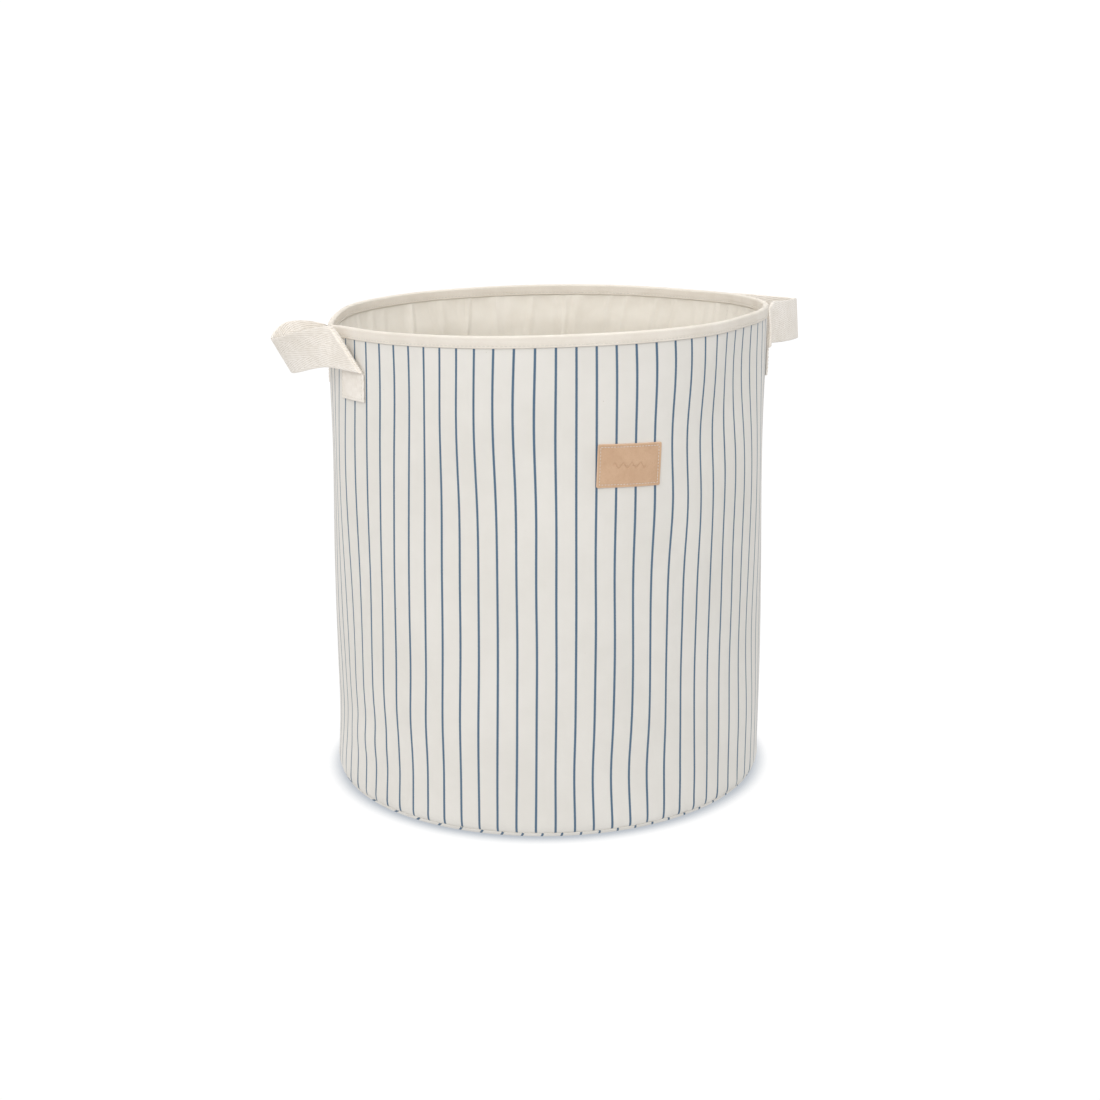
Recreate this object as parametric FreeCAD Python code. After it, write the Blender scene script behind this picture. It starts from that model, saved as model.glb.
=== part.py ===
import FreeCAD, Part
import math
import os

# A round padded storage bin: a striped canvas outside, wadding, a plain cotton lining, a tape-bound
# rim, two webbing handles and a small leather label.  Millimetres, +Z up, origin on the floor at the
# middle of the base, front of the bin at -Y, handles at -X and +X.

# Overall size
OUTER_RADIUS = 200.0        # outside of the striped canvas
HEIGHT = 432.0              # floor to the top of the bound rim

# Cloth layers
CANVAS = 1.0                # striped canvas, side and base
WALL_PADDING = 6.0          # wadding in the side
BASE_PADDING = 6.0          # wadding in the base
LINING = 0.8                # plain cotton lining
BASE_EDGE = 4.0             # rounded edge where the base panel turns up to meet the side panel

# Rim binding: a folded tape over the raw edge of the side
BINDING = 1.0               # thickness of the tape
BINDING_DEPTH = 10.0        # how far the tape reaches down from the top, inside and outside
BINDING_STITCH_UP = 2.0     # stitch line above the tape's lower edge

# Handles: one length of webbing each, sewn on at both ends
WEBBING_WIDTH = 38.0
WEBBING = 2.2               # thickness of the webbing
HANDLE_SPAN = 128.0         # between the middles of the two sewn ends, straight across
SEWN_LENGTH = 25.0          # upright sewn end below the folded strap
STRAP_BELOW_RIM = 1.5       # top edge of the folded strap below the top of the rim
LEFT_REACH = 40.0           # how far the middle of the loop stands out from its ends
RIGHT_REACH = 45.0
LEFT_DROOP = 8.0            # how far the loop hangs lower at its middle than at its ends
RIGHT_DROOP = 3.0
LEFT_LEAN = 24.0            # degrees that the top edge leans outwards at the middle of the loop
RIGHT_LEAN = 0.0
LAP = 3.0                   # length at each end that lies flat on the sewn end
FOLD_PRESS = 0.3            # how far the two layers of webbing press into each other at the fold
SWING_GAP = 0.6             # gap between the strap's fixed ends and its swinging loop
SWING_REACH = 28.0          # the loop bends at this distance from its swing axis
STRAP_STATIONS = 28         # sections along one strap

# Leather label on the front
LABEL_WIDTH = 56.0
LABEL_HEIGHT = 36.0
LABEL_THICKNESS = 1.4
LABEL_CENTRE_UP = 326.0     # middle of the label above the floor
LABEL_ASIDE = 11.0          # middle of the label to the right of the front centre line, along the wall
LABEL_CORNER = 1.5

# Sewing thread
THREAD_WIDTH = 0.5
THREAD_PROUD = 0.3          # how far a stitch line stands above the cloth
STITCH_INSET = 2.5          # stitch line to the edge of the label or of a sewn end
LINING_SEAM_ANGLE = 101.0   # degrees from the front centre line to the lining's upright seam
SIDE_SEAM_ANGLE = 180.0     # degrees from the front centre line to the canvas's upright seam

# Radii and levels that follow from the sizes above
padding_outer = OUTER_RADIUS - CANVAS
lining_outer = padding_outer - WALL_PADDING
lining_inner = lining_outer - LINING
base_padding_top = CANVAS + BASE_PADDING
floor_level = base_padding_top + LINING
layers_top = HEIGHT - BINDING
binding_bottom = HEIGHT - BINDING_DEPTH
binding_stitch_level = binding_bottom + BINDING_STITCH_UP
strap_top = HEIGHT - STRAP_BELOW_RIM
strap_middle = strap_top - WEBBING_WIDTH / 2
strap_bottom = strap_top - WEBBING_WIDTH
sewn_bottom = strap_bottom - SEWN_LENGTH
sewn_angle = math.degrees(math.asin(HANDLE_SPAN / 2 / OUTER_RADIUS))
half_width_angle = math.degrees(WEBBING_WIDTH / 2 / OUTER_RADIUS)
lap_angle = math.degrees(LAP / OUTER_RADIUS)
foot_angle = sewn_angle + half_width_angle
rise_angle = foot_angle - lap_angle
sewn_face = OUTER_RADIUS + WEBBING

UP = FreeCAD.Vector(0, 0, 1)
ALONG_X = FreeCAD.Vector(1, 0, 0)
ORIGIN = FreeCAD.Vector(0, 0, 0)


def point(radius, level):
    """A point of a turned profile."""
    return FreeCAD.Vector(radius, 0, level)


def line(start, end):
    return Part.LineSegment(start, end).toShape()


def arc(start, middle, end):
    return Part.Arc(start, middle, end).toShape()


def corner(centre_radius, centre_level, radius, start, end):
    """An arc of a turned profile about a centre, from one angle to another, in degrees."""
    ends = []
    for angle in (start, (start + end) / 2, end):
        turn = math.radians(angle)
        ends.append(point(centre_radius + radius * math.cos(turn), centre_level + radius * math.sin(turn)))
    return arc(*ends)


def turned(edges):
    """The solid that a closed profile in the XZ plane sweeps about the Z axis."""
    return Part.Face(Part.Wire(edges)).revolve(ORIGIN, UP, 360)


def tube(inner, outer, bottom, top):
    """A plain upright tube."""
    length = top - bottom
    base = point(0, bottom)
    return Part.makeCylinder(outer, length, base).cut(Part.makeCylinder(inner, length, base))


def disc(radius, bottom, top):
    return Part.makeCylinder(radius, top - bottom, point(0, bottom))


def at_angle(shape, angle):
    """Turn a shape made at +X to an angle counted from the front (-Y) towards +X."""
    turned_shape = shape.copy()
    turned_shape.rotate(ORIGIN, UP, angle - 90)
    return turned_shape


def outward_block(outline):
    """An upright outline of (sideways, level) pairs, pushed outwards along +X from the bin's axis."""
    corners = [FreeCAD.Vector(0, sideways, level) for sideways, level in outline]
    wire = Part.makePolygon(corners + corners[:1])
    return Part.Face(wire).extrude(ALONG_X * (OUTER_RADIUS * 2))


def rectangle(width, bottom, top):
    return [(-width / 2, bottom), (width / 2, bottom), (width / 2, top), (-width / 2, top)]


def patch(inner, outer, outline):
    """A curved patch on the wall at +X: a piece of a tube cut to an upright outline."""
    levels = [level for _, level in outline]
    return tube(inner, outer, min(levels), max(levels)).common(outward_block(outline))


def stitch_frame(face, width, bottom, top):
    """A rectangle of thread on a curved face at +X."""
    outside = patch(face, face + THREAD_PROUD, rectangle(width, bottom, top))
    opening = rectangle(width - 2 * THREAD_WIDTH, bottom + THREAD_WIDTH, top - THREAD_WIDTH)
    return outside.cut(outward_block(opening))


def outer_side_panel():
    return tube(padding_outer, OUTER_RADIUS, BASE_EDGE, layers_top)


def outer_base_panel():
    """The canvas disc under the bin, its edge rounded up to the side panel."""
    flat = OUTER_RADIUS - BASE_EDGE
    return turned([
        line(point(0, 0), point(flat, 0)),
        corner(flat, BASE_EDGE, BASE_EDGE, -90, 0),
        line(point(OUTER_RADIUS, BASE_EDGE), point(padding_outer, BASE_EDGE)),
        corner(flat, BASE_EDGE, BASE_EDGE - CANVAS, 0, -90),
        line(point(flat, CANVAS), point(0, CANVAS)),
        line(point(0, CANVAS), point(0, 0)),
    ])


def base_padding():
    """A round pad that fills the base panel's rounded edge."""
    flat = OUTER_RADIUS - BASE_EDGE
    return turned([
        line(point(0, CANVAS), point(flat, CANVAS)),
        corner(flat, BASE_EDGE, BASE_EDGE - CANVAS, -90, 0),
        line(point(padding_outer, BASE_EDGE), point(padding_outer, base_padding_top)),
        line(point(padding_outer, base_padding_top), point(0, base_padding_top)),
        line(point(0, base_padding_top), point(0, CANVAS)),
    ])


def wall_padding():
    return tube(lining_outer, padding_outer, base_padding_top, layers_top)


def lining_side():
    return tube(lining_inner, lining_outer, floor_level, layers_top)


def lining_base():
    return disc(lining_outer, base_padding_top, floor_level)


def rim_binding():
    """The tape folded over the wall's raw edge, with rounded upper corners."""
    outer = OUTER_RADIUS + BINDING
    inner = lining_inner - BINDING
    return turned([
        line(point(OUTER_RADIUS, binding_bottom), point(outer, binding_bottom)),
        line(point(outer, binding_bottom), point(outer, layers_top)),
        corner(OUTER_RADIUS, layers_top, BINDING, 0, 90),
        line(point(OUTER_RADIUS, HEIGHT), point(lining_inner, HEIGHT)),
        corner(lining_inner, layers_top, BINDING, 90, 180),
        line(point(inner, layers_top), point(inner, binding_bottom)),
        line(point(inner, binding_bottom), point(lining_inner, binding_bottom)),
        line(point(lining_inner, binding_bottom), point(lining_inner, layers_top)),
        line(point(lining_inner, layers_top), point(OUTER_RADIUS, layers_top)),
        line(point(OUTER_RADIUS, layers_top), point(OUTER_RADIUS, binding_bottom)),
    ])


def rim_stitching():
    """One stitch line round the outside of the binding and one round the inside."""
    outer = OUTER_RADIUS + BINDING
    inner = lining_inner - BINDING
    top = binding_stitch_level + THREAD_WIDTH
    outside = tube(outer, outer + THREAD_PROUD, binding_stitch_level, top)
    inside = tube(inner - THREAD_PROUD, inner, binding_stitch_level, top)
    return Part.makeCompound([outside, inside])


def base_seam_stitching():
    """The thread that shows in the seam between the side panel and the base panel."""
    middle = BASE_EDGE + THREAD_WIDTH / 2
    return tube(OUTER_RADIUS, OUTER_RADIUS + THREAD_PROUD, middle, middle + THREAD_WIDTH)


def side_seam_stitching():
    outline = rectangle(THREAD_WIDTH, BASE_EDGE + 2 * THREAD_WIDTH, binding_bottom)
    return at_angle(patch(OUTER_RADIUS, OUTER_RADIUS + THREAD_PROUD, outline), SIDE_SEAM_ANGLE)


def lining_seam_stitching():
    outline = rectangle(THREAD_WIDTH, floor_level, binding_bottom)
    return at_angle(patch(lining_inner - THREAD_PROUD, lining_inner, outline), LINING_SEAM_ANGLE)


def label_angle():
    return math.degrees(LABEL_ASIDE / OUTER_RADIUS)


def leather_label():
    bottom = LABEL_CENTRE_UP - LABEL_HEIGHT / 2
    outline = rectangle(LABEL_WIDTH, bottom, bottom + LABEL_HEIGHT)
    label = patch(OUTER_RADIUS, OUTER_RADIUS + LABEL_THICKNESS, outline)
    corners = []
    for edge in label.Edges:
        runs_outwards = abs(edge.BoundBox.XLength) > LABEL_THICKNESS / 2
        is_short = edge.Length < 2 * LABEL_THICKNESS
        if runs_outwards and is_short:
            corners.append(edge)
    return at_angle(label.makeFillet(LABEL_CORNER, corners), label_angle())


def label_stitching():
    face = OUTER_RADIUS + LABEL_THICKNESS
    half = LABEL_HEIGHT / 2 - STITCH_INSET
    width = LABEL_WIDTH - 2 * STITCH_INSET
    frame = stitch_frame(face, width, LABEL_CENTRE_UP - half, LABEL_CENTRE_UP + half)
    return at_angle(frame, label_angle())


def loop_rise(angle):
    """How far out the loop is at an angle from its middle: 0 at its feet, 1 at its middle."""
    if abs(angle) >= rise_angle:
        return 0.0
    return (1 + math.cos(math.pi * angle / rise_angle)) / 2


def strap_centre(angle, reach):
    """The plan position of the strap's centre line at an angle from the handle's middle, at +X."""
    radius = sewn_face - FOLD_PRESS + WEBBING / 2 + reach * loop_rise(angle)
    turn = math.radians(angle)
    return FreeCAD.Vector(radius * math.cos(turn), radius * math.sin(turn), 0)


def strap_section(angle, reach, droop, lean):
    """The strap's cut end at one station, as a closed four-sided wire."""
    step = 0.05
    ahead = strap_centre(angle + step, reach)
    behind = strap_centre(angle - step, reach)
    forward = (ahead - behind).normalize()
    outward = forward.cross(UP)
    rise = loop_rise(angle)
    tilt = math.radians(lean * rise)
    across = UP * math.cos(tilt) + outward * math.sin(tilt)
    through = outward * math.cos(tilt) - UP * math.sin(tilt)
    centre = strap_centre(angle, reach) + UP * (strap_middle - droop * rise)
    corners = []
    for side, face in ((-1, -1), (1, -1), (1, 1), (-1, 1)):
        corners.append(centre + across * (side * WEBBING_WIDTH / 2) + through * (face * WEBBING / 2))
    return Part.makePolygon(corners + corners[:1])


def whole_strap(reach, droop, lean):
    """The folded strap from foot to foot, before its ends are cut along the folds."""
    sections = []
    for station in range(STRAP_STATIONS + 1):
        angle = foot_angle * (1 - 2 * station / STRAP_STATIONS)
        sections.append(strap_section(angle, reach, droop, lean))
    return Part.makeLoft(sections, True, True)


def beyond_fold(side):
    """The corner that the diagonal fold takes off the strap's foot."""
    half = WEBBING_WIDTH / 2
    over = HEIGHT + WEBBING_WIDTH
    outline = [
        (side * half, strap_bottom),
        (-side * half, strap_top),
        (-side * half, over),
        (side * WEBBING_WIDTH * 2, over),
        (side * WEBBING_WIDTH * 2, strap_bottom),
    ]
    block = outward_block(outline)
    block.rotate(ORIGIN, UP, side * sewn_angle)
    return block


def sewn_end(side):
    """The upright end of the webbing on the wall, from its cut edge up to the diagonal fold."""
    half = WEBBING_WIDTH / 2
    under_binding = binding_bottom - WEBBING
    fold_run = under_binding - strap_bottom
    outline = [
        (-side * half, sewn_bottom),
        (side * half, sewn_bottom),
        (side * half, strap_bottom),
        (side * (half - fold_run), under_binding),
        (-side * half, under_binding),
    ]
    end = patch(OUTER_RADIUS, sewn_face, outline)
    end.rotate(ORIGIN, UP, side * sewn_angle)
    return end


def swing_cylinder(radius):
    """A cylinder about the handle's swing axis, wide enough to take in the whole strap."""
    reach = OUTER_RADIUS
    start = FreeCAD.Vector(OUTER_RADIUS, -reach, strap_middle)
    return Part.makeCylinder(radius, 2 * reach, start, FreeCAD.Vector(0, 1, 0))


def handle(reach, droop, lean):
    """The four nodes of one handle at +X: its loop, its two ends and its stitching."""
    strap = whole_strap(reach, droop, lean)
    for side in (-1, 1):
        strap = strap.cut(beyond_fold(side))
    loop = strap.cut(swing_cylinder(SWING_REACH + SWING_GAP / 2))
    fixed = strap.common(swing_cylinder(SWING_REACH - SWING_GAP / 2))
    pieces = {"loop": loop}
    threads = []
    for side, name in ((-1, "front_end"), (1, "rear_end")):
        legs = [solid for solid in fixed.Solids if side * solid.CenterOfMass.y > 0]
        pieces[name] = legs[0].fuse(sewn_end(side)).removeSplitter()
        thread_top = strap_bottom - STITCH_INSET
        frame = stitch_frame(sewn_face, WEBBING_WIDTH - 2 * STITCH_INSET, sewn_bottom + STITCH_INSET, thread_top)
        frame.rotate(ORIGIN, UP, side * sewn_angle)
        threads.append(frame)
    pieces["stitching"] = Part.makeCompound(threads)
    return pieces


def mirrored(shape):
    """The same shape on the other side of the bin."""
    return shape.mirror(ORIGIN, ALONG_X)


def all_nodes():
    nodes = {
        "outer_side_panel": outer_side_panel(),
        "outer_base_panel": outer_base_panel(),
        "wall_padding": wall_padding(),
        "base_padding": base_padding(),
        "lining_side": lining_side(),
        "lining_base": lining_base(),
        "rim_binding": rim_binding(),
        "rim_stitching": rim_stitching(),
        "base_seam_stitching": base_seam_stitching(),
        "side_seam_stitching": side_seam_stitching(),
        "lining_seam_stitching": lining_seam_stitching(),
        "leather_label": leather_label(),
        "label_stitching": label_stitching(),
    }
    for name, shape in handle(RIGHT_REACH, RIGHT_DROOP, RIGHT_LEAN).items():
        nodes["right_handle_" + name] = shape
    for name, shape in handle(LEFT_REACH, LEFT_DROOP, LEFT_LEAN).items():
        nodes["left_handle_" + name] = mirrored(shape)
    return nodes


os.makedirs("parts", exist_ok=True)
for node_name, node_shape in all_nodes().items():
    node_shape.exportStep("parts/" + node_name + ".step")
    print(node_name, len(node_shape.Solids), "solids", round(node_shape.Volume, 1), "mm3", node_shape.isValid())
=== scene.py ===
"""A round storage bin of striped canvas: padded, lined and bound, with two webbing handles and a label."""

import logging
import math
from dataclasses import dataclass
from enum import Enum
from typing import Any, Callable, Sequence

import bpy
import numpy as np
from mathutils import Matrix, Vector


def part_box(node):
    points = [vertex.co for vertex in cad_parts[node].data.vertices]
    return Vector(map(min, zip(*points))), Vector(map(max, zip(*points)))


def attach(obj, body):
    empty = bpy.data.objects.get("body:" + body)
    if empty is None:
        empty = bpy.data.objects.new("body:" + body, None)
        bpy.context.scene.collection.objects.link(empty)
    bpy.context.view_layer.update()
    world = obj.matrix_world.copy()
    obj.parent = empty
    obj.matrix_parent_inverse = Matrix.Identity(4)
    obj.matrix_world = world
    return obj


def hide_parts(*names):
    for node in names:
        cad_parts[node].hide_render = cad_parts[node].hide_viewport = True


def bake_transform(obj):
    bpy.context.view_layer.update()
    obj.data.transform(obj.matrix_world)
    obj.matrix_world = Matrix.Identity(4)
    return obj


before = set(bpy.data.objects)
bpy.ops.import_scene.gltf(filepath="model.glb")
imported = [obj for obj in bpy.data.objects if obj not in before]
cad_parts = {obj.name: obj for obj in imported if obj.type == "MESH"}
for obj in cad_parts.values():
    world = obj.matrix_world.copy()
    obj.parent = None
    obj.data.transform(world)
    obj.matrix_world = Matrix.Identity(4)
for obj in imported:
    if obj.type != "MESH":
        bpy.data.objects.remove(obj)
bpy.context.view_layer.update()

log = logging.getLogger("storage_bin")

MM = 0.001
CLOTH_MAP = "cloth"  # the UV map of every piece: metres along the cloth

NO_LENGTH = 1e-12  # keeps a division by a length of nothing apart from zero

Array = np.ndarray
Places = Array  # points: the last axis holds x, y and z
Socket = bpy.types.NodeSocket
Look = tuple[Socket, Socket, Socket]  # colour, roughness and relief height
Material = bpy.types.Material
Piece = bpy.types.Object


def steps(start: float, end: float, count: int) -> Array:
    """Evenly spaced values from start to end, both included."""
    return np.linspace(start, end, count)


def ease(value: Array) -> Array:
    """A value turned into a smooth step from 0 to 1."""
    held = np.clip(value, 0.0, 1.0)
    return held * held * (3 - 2 * held)


def unit(vectors: Array) -> Array:
    """The same directions, each one long."""
    return vectors / np.maximum(np.linalg.norm(vectors, axis=-1, keepdims=True), NO_LENGTH)


def bell(value: Array) -> Array:
    """A soft bump: 1 at 0, close to nothing from 2 on."""
    return np.exp(-value * value)


def around_gap(angle: Array, centre: float) -> Array:
    """The signed angle from a centre, the short way round, in radians."""
    return (angle - centre + math.pi) % (2 * math.pi) - math.pi


def run_of(line: Array) -> Array:
    """The length along a line of points, at each of its points."""
    return np.concatenate([[0.0], np.cumsum(np.linalg.norm(np.diff(line, axis=0), axis=1))])


# ---- Meshes ----


@dataclass
class Surface:
    """A net of points that becomes one mesh.

    Attributes:
        places: the points, rows by columns by 3, in metres.
        marks: the cloth coordinates, with one more row or column where the net closes on itself.
        loop_rows: whether the last row joins the first.
        loop_columns: whether the last column joins the first.
        close_ends: whether a fan closes the first and the last row.
    """

    places: Places
    marks: Array
    loop_rows: bool = False
    loop_columns: bool = True
    close_ends: bool = False

    def _quads(self) -> tuple[Array, Array]:
        """Corner numbers and cloth coordinates of the four-sided faces.

        Returns:
            The corner numbers and the cloth coordinates, a row for each face.
        """
        rows, columns = self.places.shape[:2]
        tall = rows if self.loop_rows else rows - 1
        wide = columns if self.loop_columns else columns - 1
        grids = np.meshgrid(np.arange(tall), np.arange(wide), indexing="ij")
        row, column = (grid.ravel() for grid in grids)
        corners, marks = [], []
        for down, along in ((0, 0), (0, 1), (1, 1), (1, 0)):
            corners.append((row + down) % rows * columns + (column + along) % columns)
            marks.append(self.marks[row + down, column + along])
        return np.stack(corners, 1), np.stack(marks, 1)

    def _fans(self, first_spare: int) -> tuple[list, list, list]:
        """The end fans: their middle points, corner numbers and cloth coordinates.

        Args:
            first_spare: the number of the first middle point.

        Returns:
            The middles, the corner numbers and the cloth coordinates.
        """
        rows, columns = self.places.shape[:2]
        middles, corners, marks = [], [], []
        column = np.arange(columns)
        for row, flip in ((0, True), (rows - 1, False)):
            middle = np.full(columns, first_spare + len(middles))
            middles.append(self.places[row].mean(0))
            here, after = row * columns + column, row * columns + (column + 1) % columns
            ring = (middle, after, here) if flip else (middle, here, after)
            ring_marks = self.marks[row]
            centre = np.repeat(ring_marks[:-1].mean(0)[None], columns, 0)
            pair = (ring_marks[1:], ring_marks[:-1]) if flip else (ring_marks[:-1], ring_marks[1:])
            corners.append(np.stack(ring, 1))
            marks.append(np.stack((centre, *pair), 1))
        return middles, corners, marks

    def piece(self, name: str, material: Material) -> Piece:
        """Make the mesh object.

        Args:
            name: the piece's name.
            material: its finish.

        Returns:
            The new object, smooth shaded, with its normals outwards.
        """
        points = self.places.reshape(-1, 3)
        quads, quad_marks = self._quads()
        faces, marks = [quads], [quad_marks]
        if self.close_ends:
            middles, fans, fan_marks = self._fans(len(points))
            points = np.concatenate([points, np.array(middles)])
            faces += fans
            marks += fan_marks
        return mesh_piece(name, points, faces, marks, material)


def turned_inside_out(points: Array, faces: Sequence[Array]) -> bool:
    """Whether a closed mesh's faces look inwards.

    Args:
        points: all points, in metres.
        faces: arrays of corner numbers.

    Returns:
        True when the faces must be flipped.
    """
    volume = 0.0
    for block in faces:
        for second in range(1, block.shape[1] - 1):
            a, b, c = (points[block[:, corner]] for corner in (0, second, second + 1))
            volume += float((a * np.cross(b, c)).sum())
    return volume < 0


def mesh_piece(
    name: str,
    points: Array,
    faces: Sequence[Array],
    marks: Sequence[Array],
    material: Material,
) -> Piece:
    """Make a mesh object from blocks of faces.

    Args:
        name: the piece's name.
        points: all points, in metres.
        faces: arrays of corner numbers, one array for each number of sides.
        marks: the cloth coordinates of those corners.
        material: the finish.

    Returns:
        The new object.
    """
    if turned_inside_out(points, faces):
        faces = [block[:, ::-1] for block in faces]
        marks = [block[:, ::-1] for block in marks]
    sizes = np.concatenate([np.full(len(block), block.shape[1]) for block in faces])
    corners = np.concatenate([block.ravel() for block in faces])
    mesh = bpy.data.meshes.new(name)
    mesh.vertices.add(len(points))
    mesh.vertices.foreach_set("co", points.astype(np.float32).ravel())
    mesh.loops.add(len(corners))
    mesh.loops.foreach_set("vertex_index", corners.astype(np.int32))
    mesh.polygons.add(len(sizes))
    mesh.polygons.foreach_set("loop_start", np.concatenate([[0], np.cumsum(sizes)[:-1]]).astype(np.int32))
    mesh.polygons.foreach_set("loop_total", sizes.astype(np.int32))
    mesh.polygons.foreach_set("use_smooth", np.ones(len(sizes), bool))
    layer = mesh.uv_layers.new(name=CLOTH_MAP)
    flat = np.concatenate([block.reshape(-1, 2) for block in marks])
    layer.uv.foreach_set("vector", flat.astype(np.float32).ravel())
    mesh.update(calc_edges=True)
    mesh.validate()
    mesh.materials.append(material)
    piece = bpy.data.objects.new(name, mesh)
    bpy.context.scene.collection.objects.link(piece)
    return piece


# ---- Shader nodes ----


class Bench:
    """Lays shader nodes in one tree and joins them."""

    def __init__(self, tree: bpy.types.NodeTree) -> None:
        """Work on a tree."""
        self.tree = tree

    def node(self, kind: str, inputs: dict[Any, Any] | None = None, **settings: Any) -> bpy.types.Node:
        """Add a node.

        Args:
            kind: the node's type without its leading "ShaderNode".
            inputs: a value or another node's socket for each named or numbered input.
            settings: the node's own properties.

        Returns:
            The new node.
        """
        node = self.tree.nodes.new("ShaderNode" + kind)
        for key, value in settings.items():
            setattr(node, key, value)
        for key, value in (inputs or {}).items():
            if isinstance(value, Socket):
                self.tree.links.new(value, node.inputs[key])
            else:
                node.inputs[key].default_value = value
        return node

    def math(self, operation: str, first: Any, second: Any = 0.0, third: Any = 0.0) -> Socket:
        """The result of one step of arithmetic on up to three values."""
        inputs = {0: first, 1: second, 2: third}
        return self.node("Math", inputs, operation=operation).outputs[0]

    def times(self, first: Any, second: Any) -> Socket:
        """The product of two values."""
        return self.math("MULTIPLY", first, second)

    def times_plus(self, first: Any, second: Any, third: Any) -> Socket:
        """The product of two values with a third added."""
        return self.math("MULTIPLY_ADD", first, second, third)

    def span(
        self, value: Any, low: float, high: float, new_low: float = 0.0, new_high: float = 1.0
    ) -> Socket:
        """A value eased from one span to another, and held at its ends."""
        inputs = {"Value": value, "From Min": low, "From Max": high, "To Min": new_low, "To Max": new_high}
        return self.node("MapRange", inputs, interpolation_type="SMOOTHSTEP").outputs[0]

    def mix(self, share: Any, first: Any, second: Any) -> Socket:
        """A colour between two others."""
        return self.node("Mix", {0: share, 6: first, 7: second}, data_type="RGBA").outputs[2]

    def noise(self, vector: Socket, size: float, detail: float = 2.0) -> Socket:
        """Soft random values of about the given size in metres."""
        inputs = {"Vector": vector, "Scale": 1.0 / size, "Detail": detail, "Roughness": 0.55}
        return self.node("TexNoise", inputs).outputs[0]

    def stretched(self, vector: Socket, across: float, along: float) -> Socket:
        """Cloth coordinates scaled by themselves in each direction."""
        inputs = {0: vector, 1: (across, along, 1.0)}
        return self.node("VectorMath", inputs, operation="MULTIPLY").outputs[0]

    def parts(self, vector: Socket) -> tuple[Socket, Socket]:
        """The two cloth coordinates of a vector."""
        split = self.node("SeparateXYZ", {0: vector})
        return split.outputs[0], split.outputs[1]


class Effect:
    """A surface effect that several finishes share, as one node group that is built once."""

    name = "effect"
    takes: tuple[tuple[str, str, float], ...] = ()
    gives: tuple[str, ...] = ()

    @classmethod
    def group(cls) -> bpy.types.NodeTree:
        """The effect's node group, built at its first use.

        Returns:
            The node group.
        """
        found = bpy.data.node_groups.get(cls.name)
        if found:
            return found
        tree = bpy.data.node_groups.new(cls.name, "ShaderNodeTree")
        tree.interface.new_socket("Cloth", in_out="INPUT", socket_type="NodeSocketVector")
        for label, kind, value in cls.takes:
            socket = tree.interface.new_socket(label, in_out="INPUT", socket_type=kind)
            socket.default_value = value
        for label in cls.gives:
            tree.interface.new_socket(label, in_out="OUTPUT", socket_type="NodeSocketFloat")
        bench = Bench(tree)
        given = tree.nodes.new("NodeGroupInput")
        result = tree.nodes.new("NodeGroupOutput")
        for label, socket in cls.lay(bench, given.outputs).items():
            tree.links.new(socket, result.inputs[label])
        return tree

    @classmethod
    def lay(cls, bench: Bench, given: Any) -> dict[str, Socket]:
        """Lay the group's nodes and return a socket for each thing it gives."""
        raise NotImplementedError

    @classmethod
    def place(cls, bench: Bench, cloth: Socket, **values: float) -> Any:
        """Place the effect in a finish and return its outputs.

        Args:
            bench: the bench of the tree.
            cloth: the cloth coordinates.
            values: a value for each of the effect's other inputs.

        Returns:
            The effect's output sockets.
        """
        node = bench.tree.nodes.new("ShaderNodeGroup")
        node.node_tree = cls.group()
        bench.tree.links.new(cloth, node.inputs["Cloth"])
        for label, value in values.items():
            node.inputs[label].default_value = value
        return node.outputs


class PlainWeave(Effect):
    """Yarns that pass over and under each other, one by one."""

    name = "plain_weave"
    takes = (("Spacing", "NodeSocketFloat", 0.0006), ("Unevenness", "NodeSocketFloat", 0.3))
    gives = ("Height", "Gap")

    @classmethod
    def lay(cls, bench: Bench, given: Any) -> dict[str, Socket]:
        """Raise each yarn where it passes over, and mark the small gaps between yarns, which the cloth
        finishes darken as painted shade.

        Args:
            bench: the bench of the tree.
            given: the group's input sockets.

        Returns:
            A socket for each thing it gives.
        """
        across, along = bench.parts(given["Cloth"])
        wander = bench.noise(given["Cloth"], 0.012, 2.0)
        sway = bench.times(bench.math("SUBTRACT", wander, 0.5), given["Unevenness"])
        warp = bench.math("ADD", bench.math("DIVIDE", across, given["Spacing"]), sway)
        weft = bench.math("ADD", bench.math("DIVIDE", along, given["Spacing"]), sway)
        warp_ridge = bench.math("ABSOLUTE", bench.math("SINE", bench.times(warp, math.pi)))
        weft_ridge = bench.math("ABSOLUTE", bench.math("SINE", bench.times(weft, math.pi)))
        both = bench.math("ADD", bench.math("FLOOR", warp), bench.math("FLOOR", weft))
        over = bench.math("PINGPONG", both, 1.0)
        under = bench.math("SUBTRACT", 1.0, over)
        warp_up = bench.times(warp_ridge, bench.times_plus(over, 0.6, 0.4))
        weft_up = bench.times(weft_ridge, bench.times_plus(under, 0.6, 0.4))
        height = bench.math("MAXIMUM", warp_up, weft_up)
        # the gaps between yarns: the finishes paint shade into them
        gap = bench.span(height, 0.45, 0.1)
        return {"Height": height, "Gap": gap}


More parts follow.
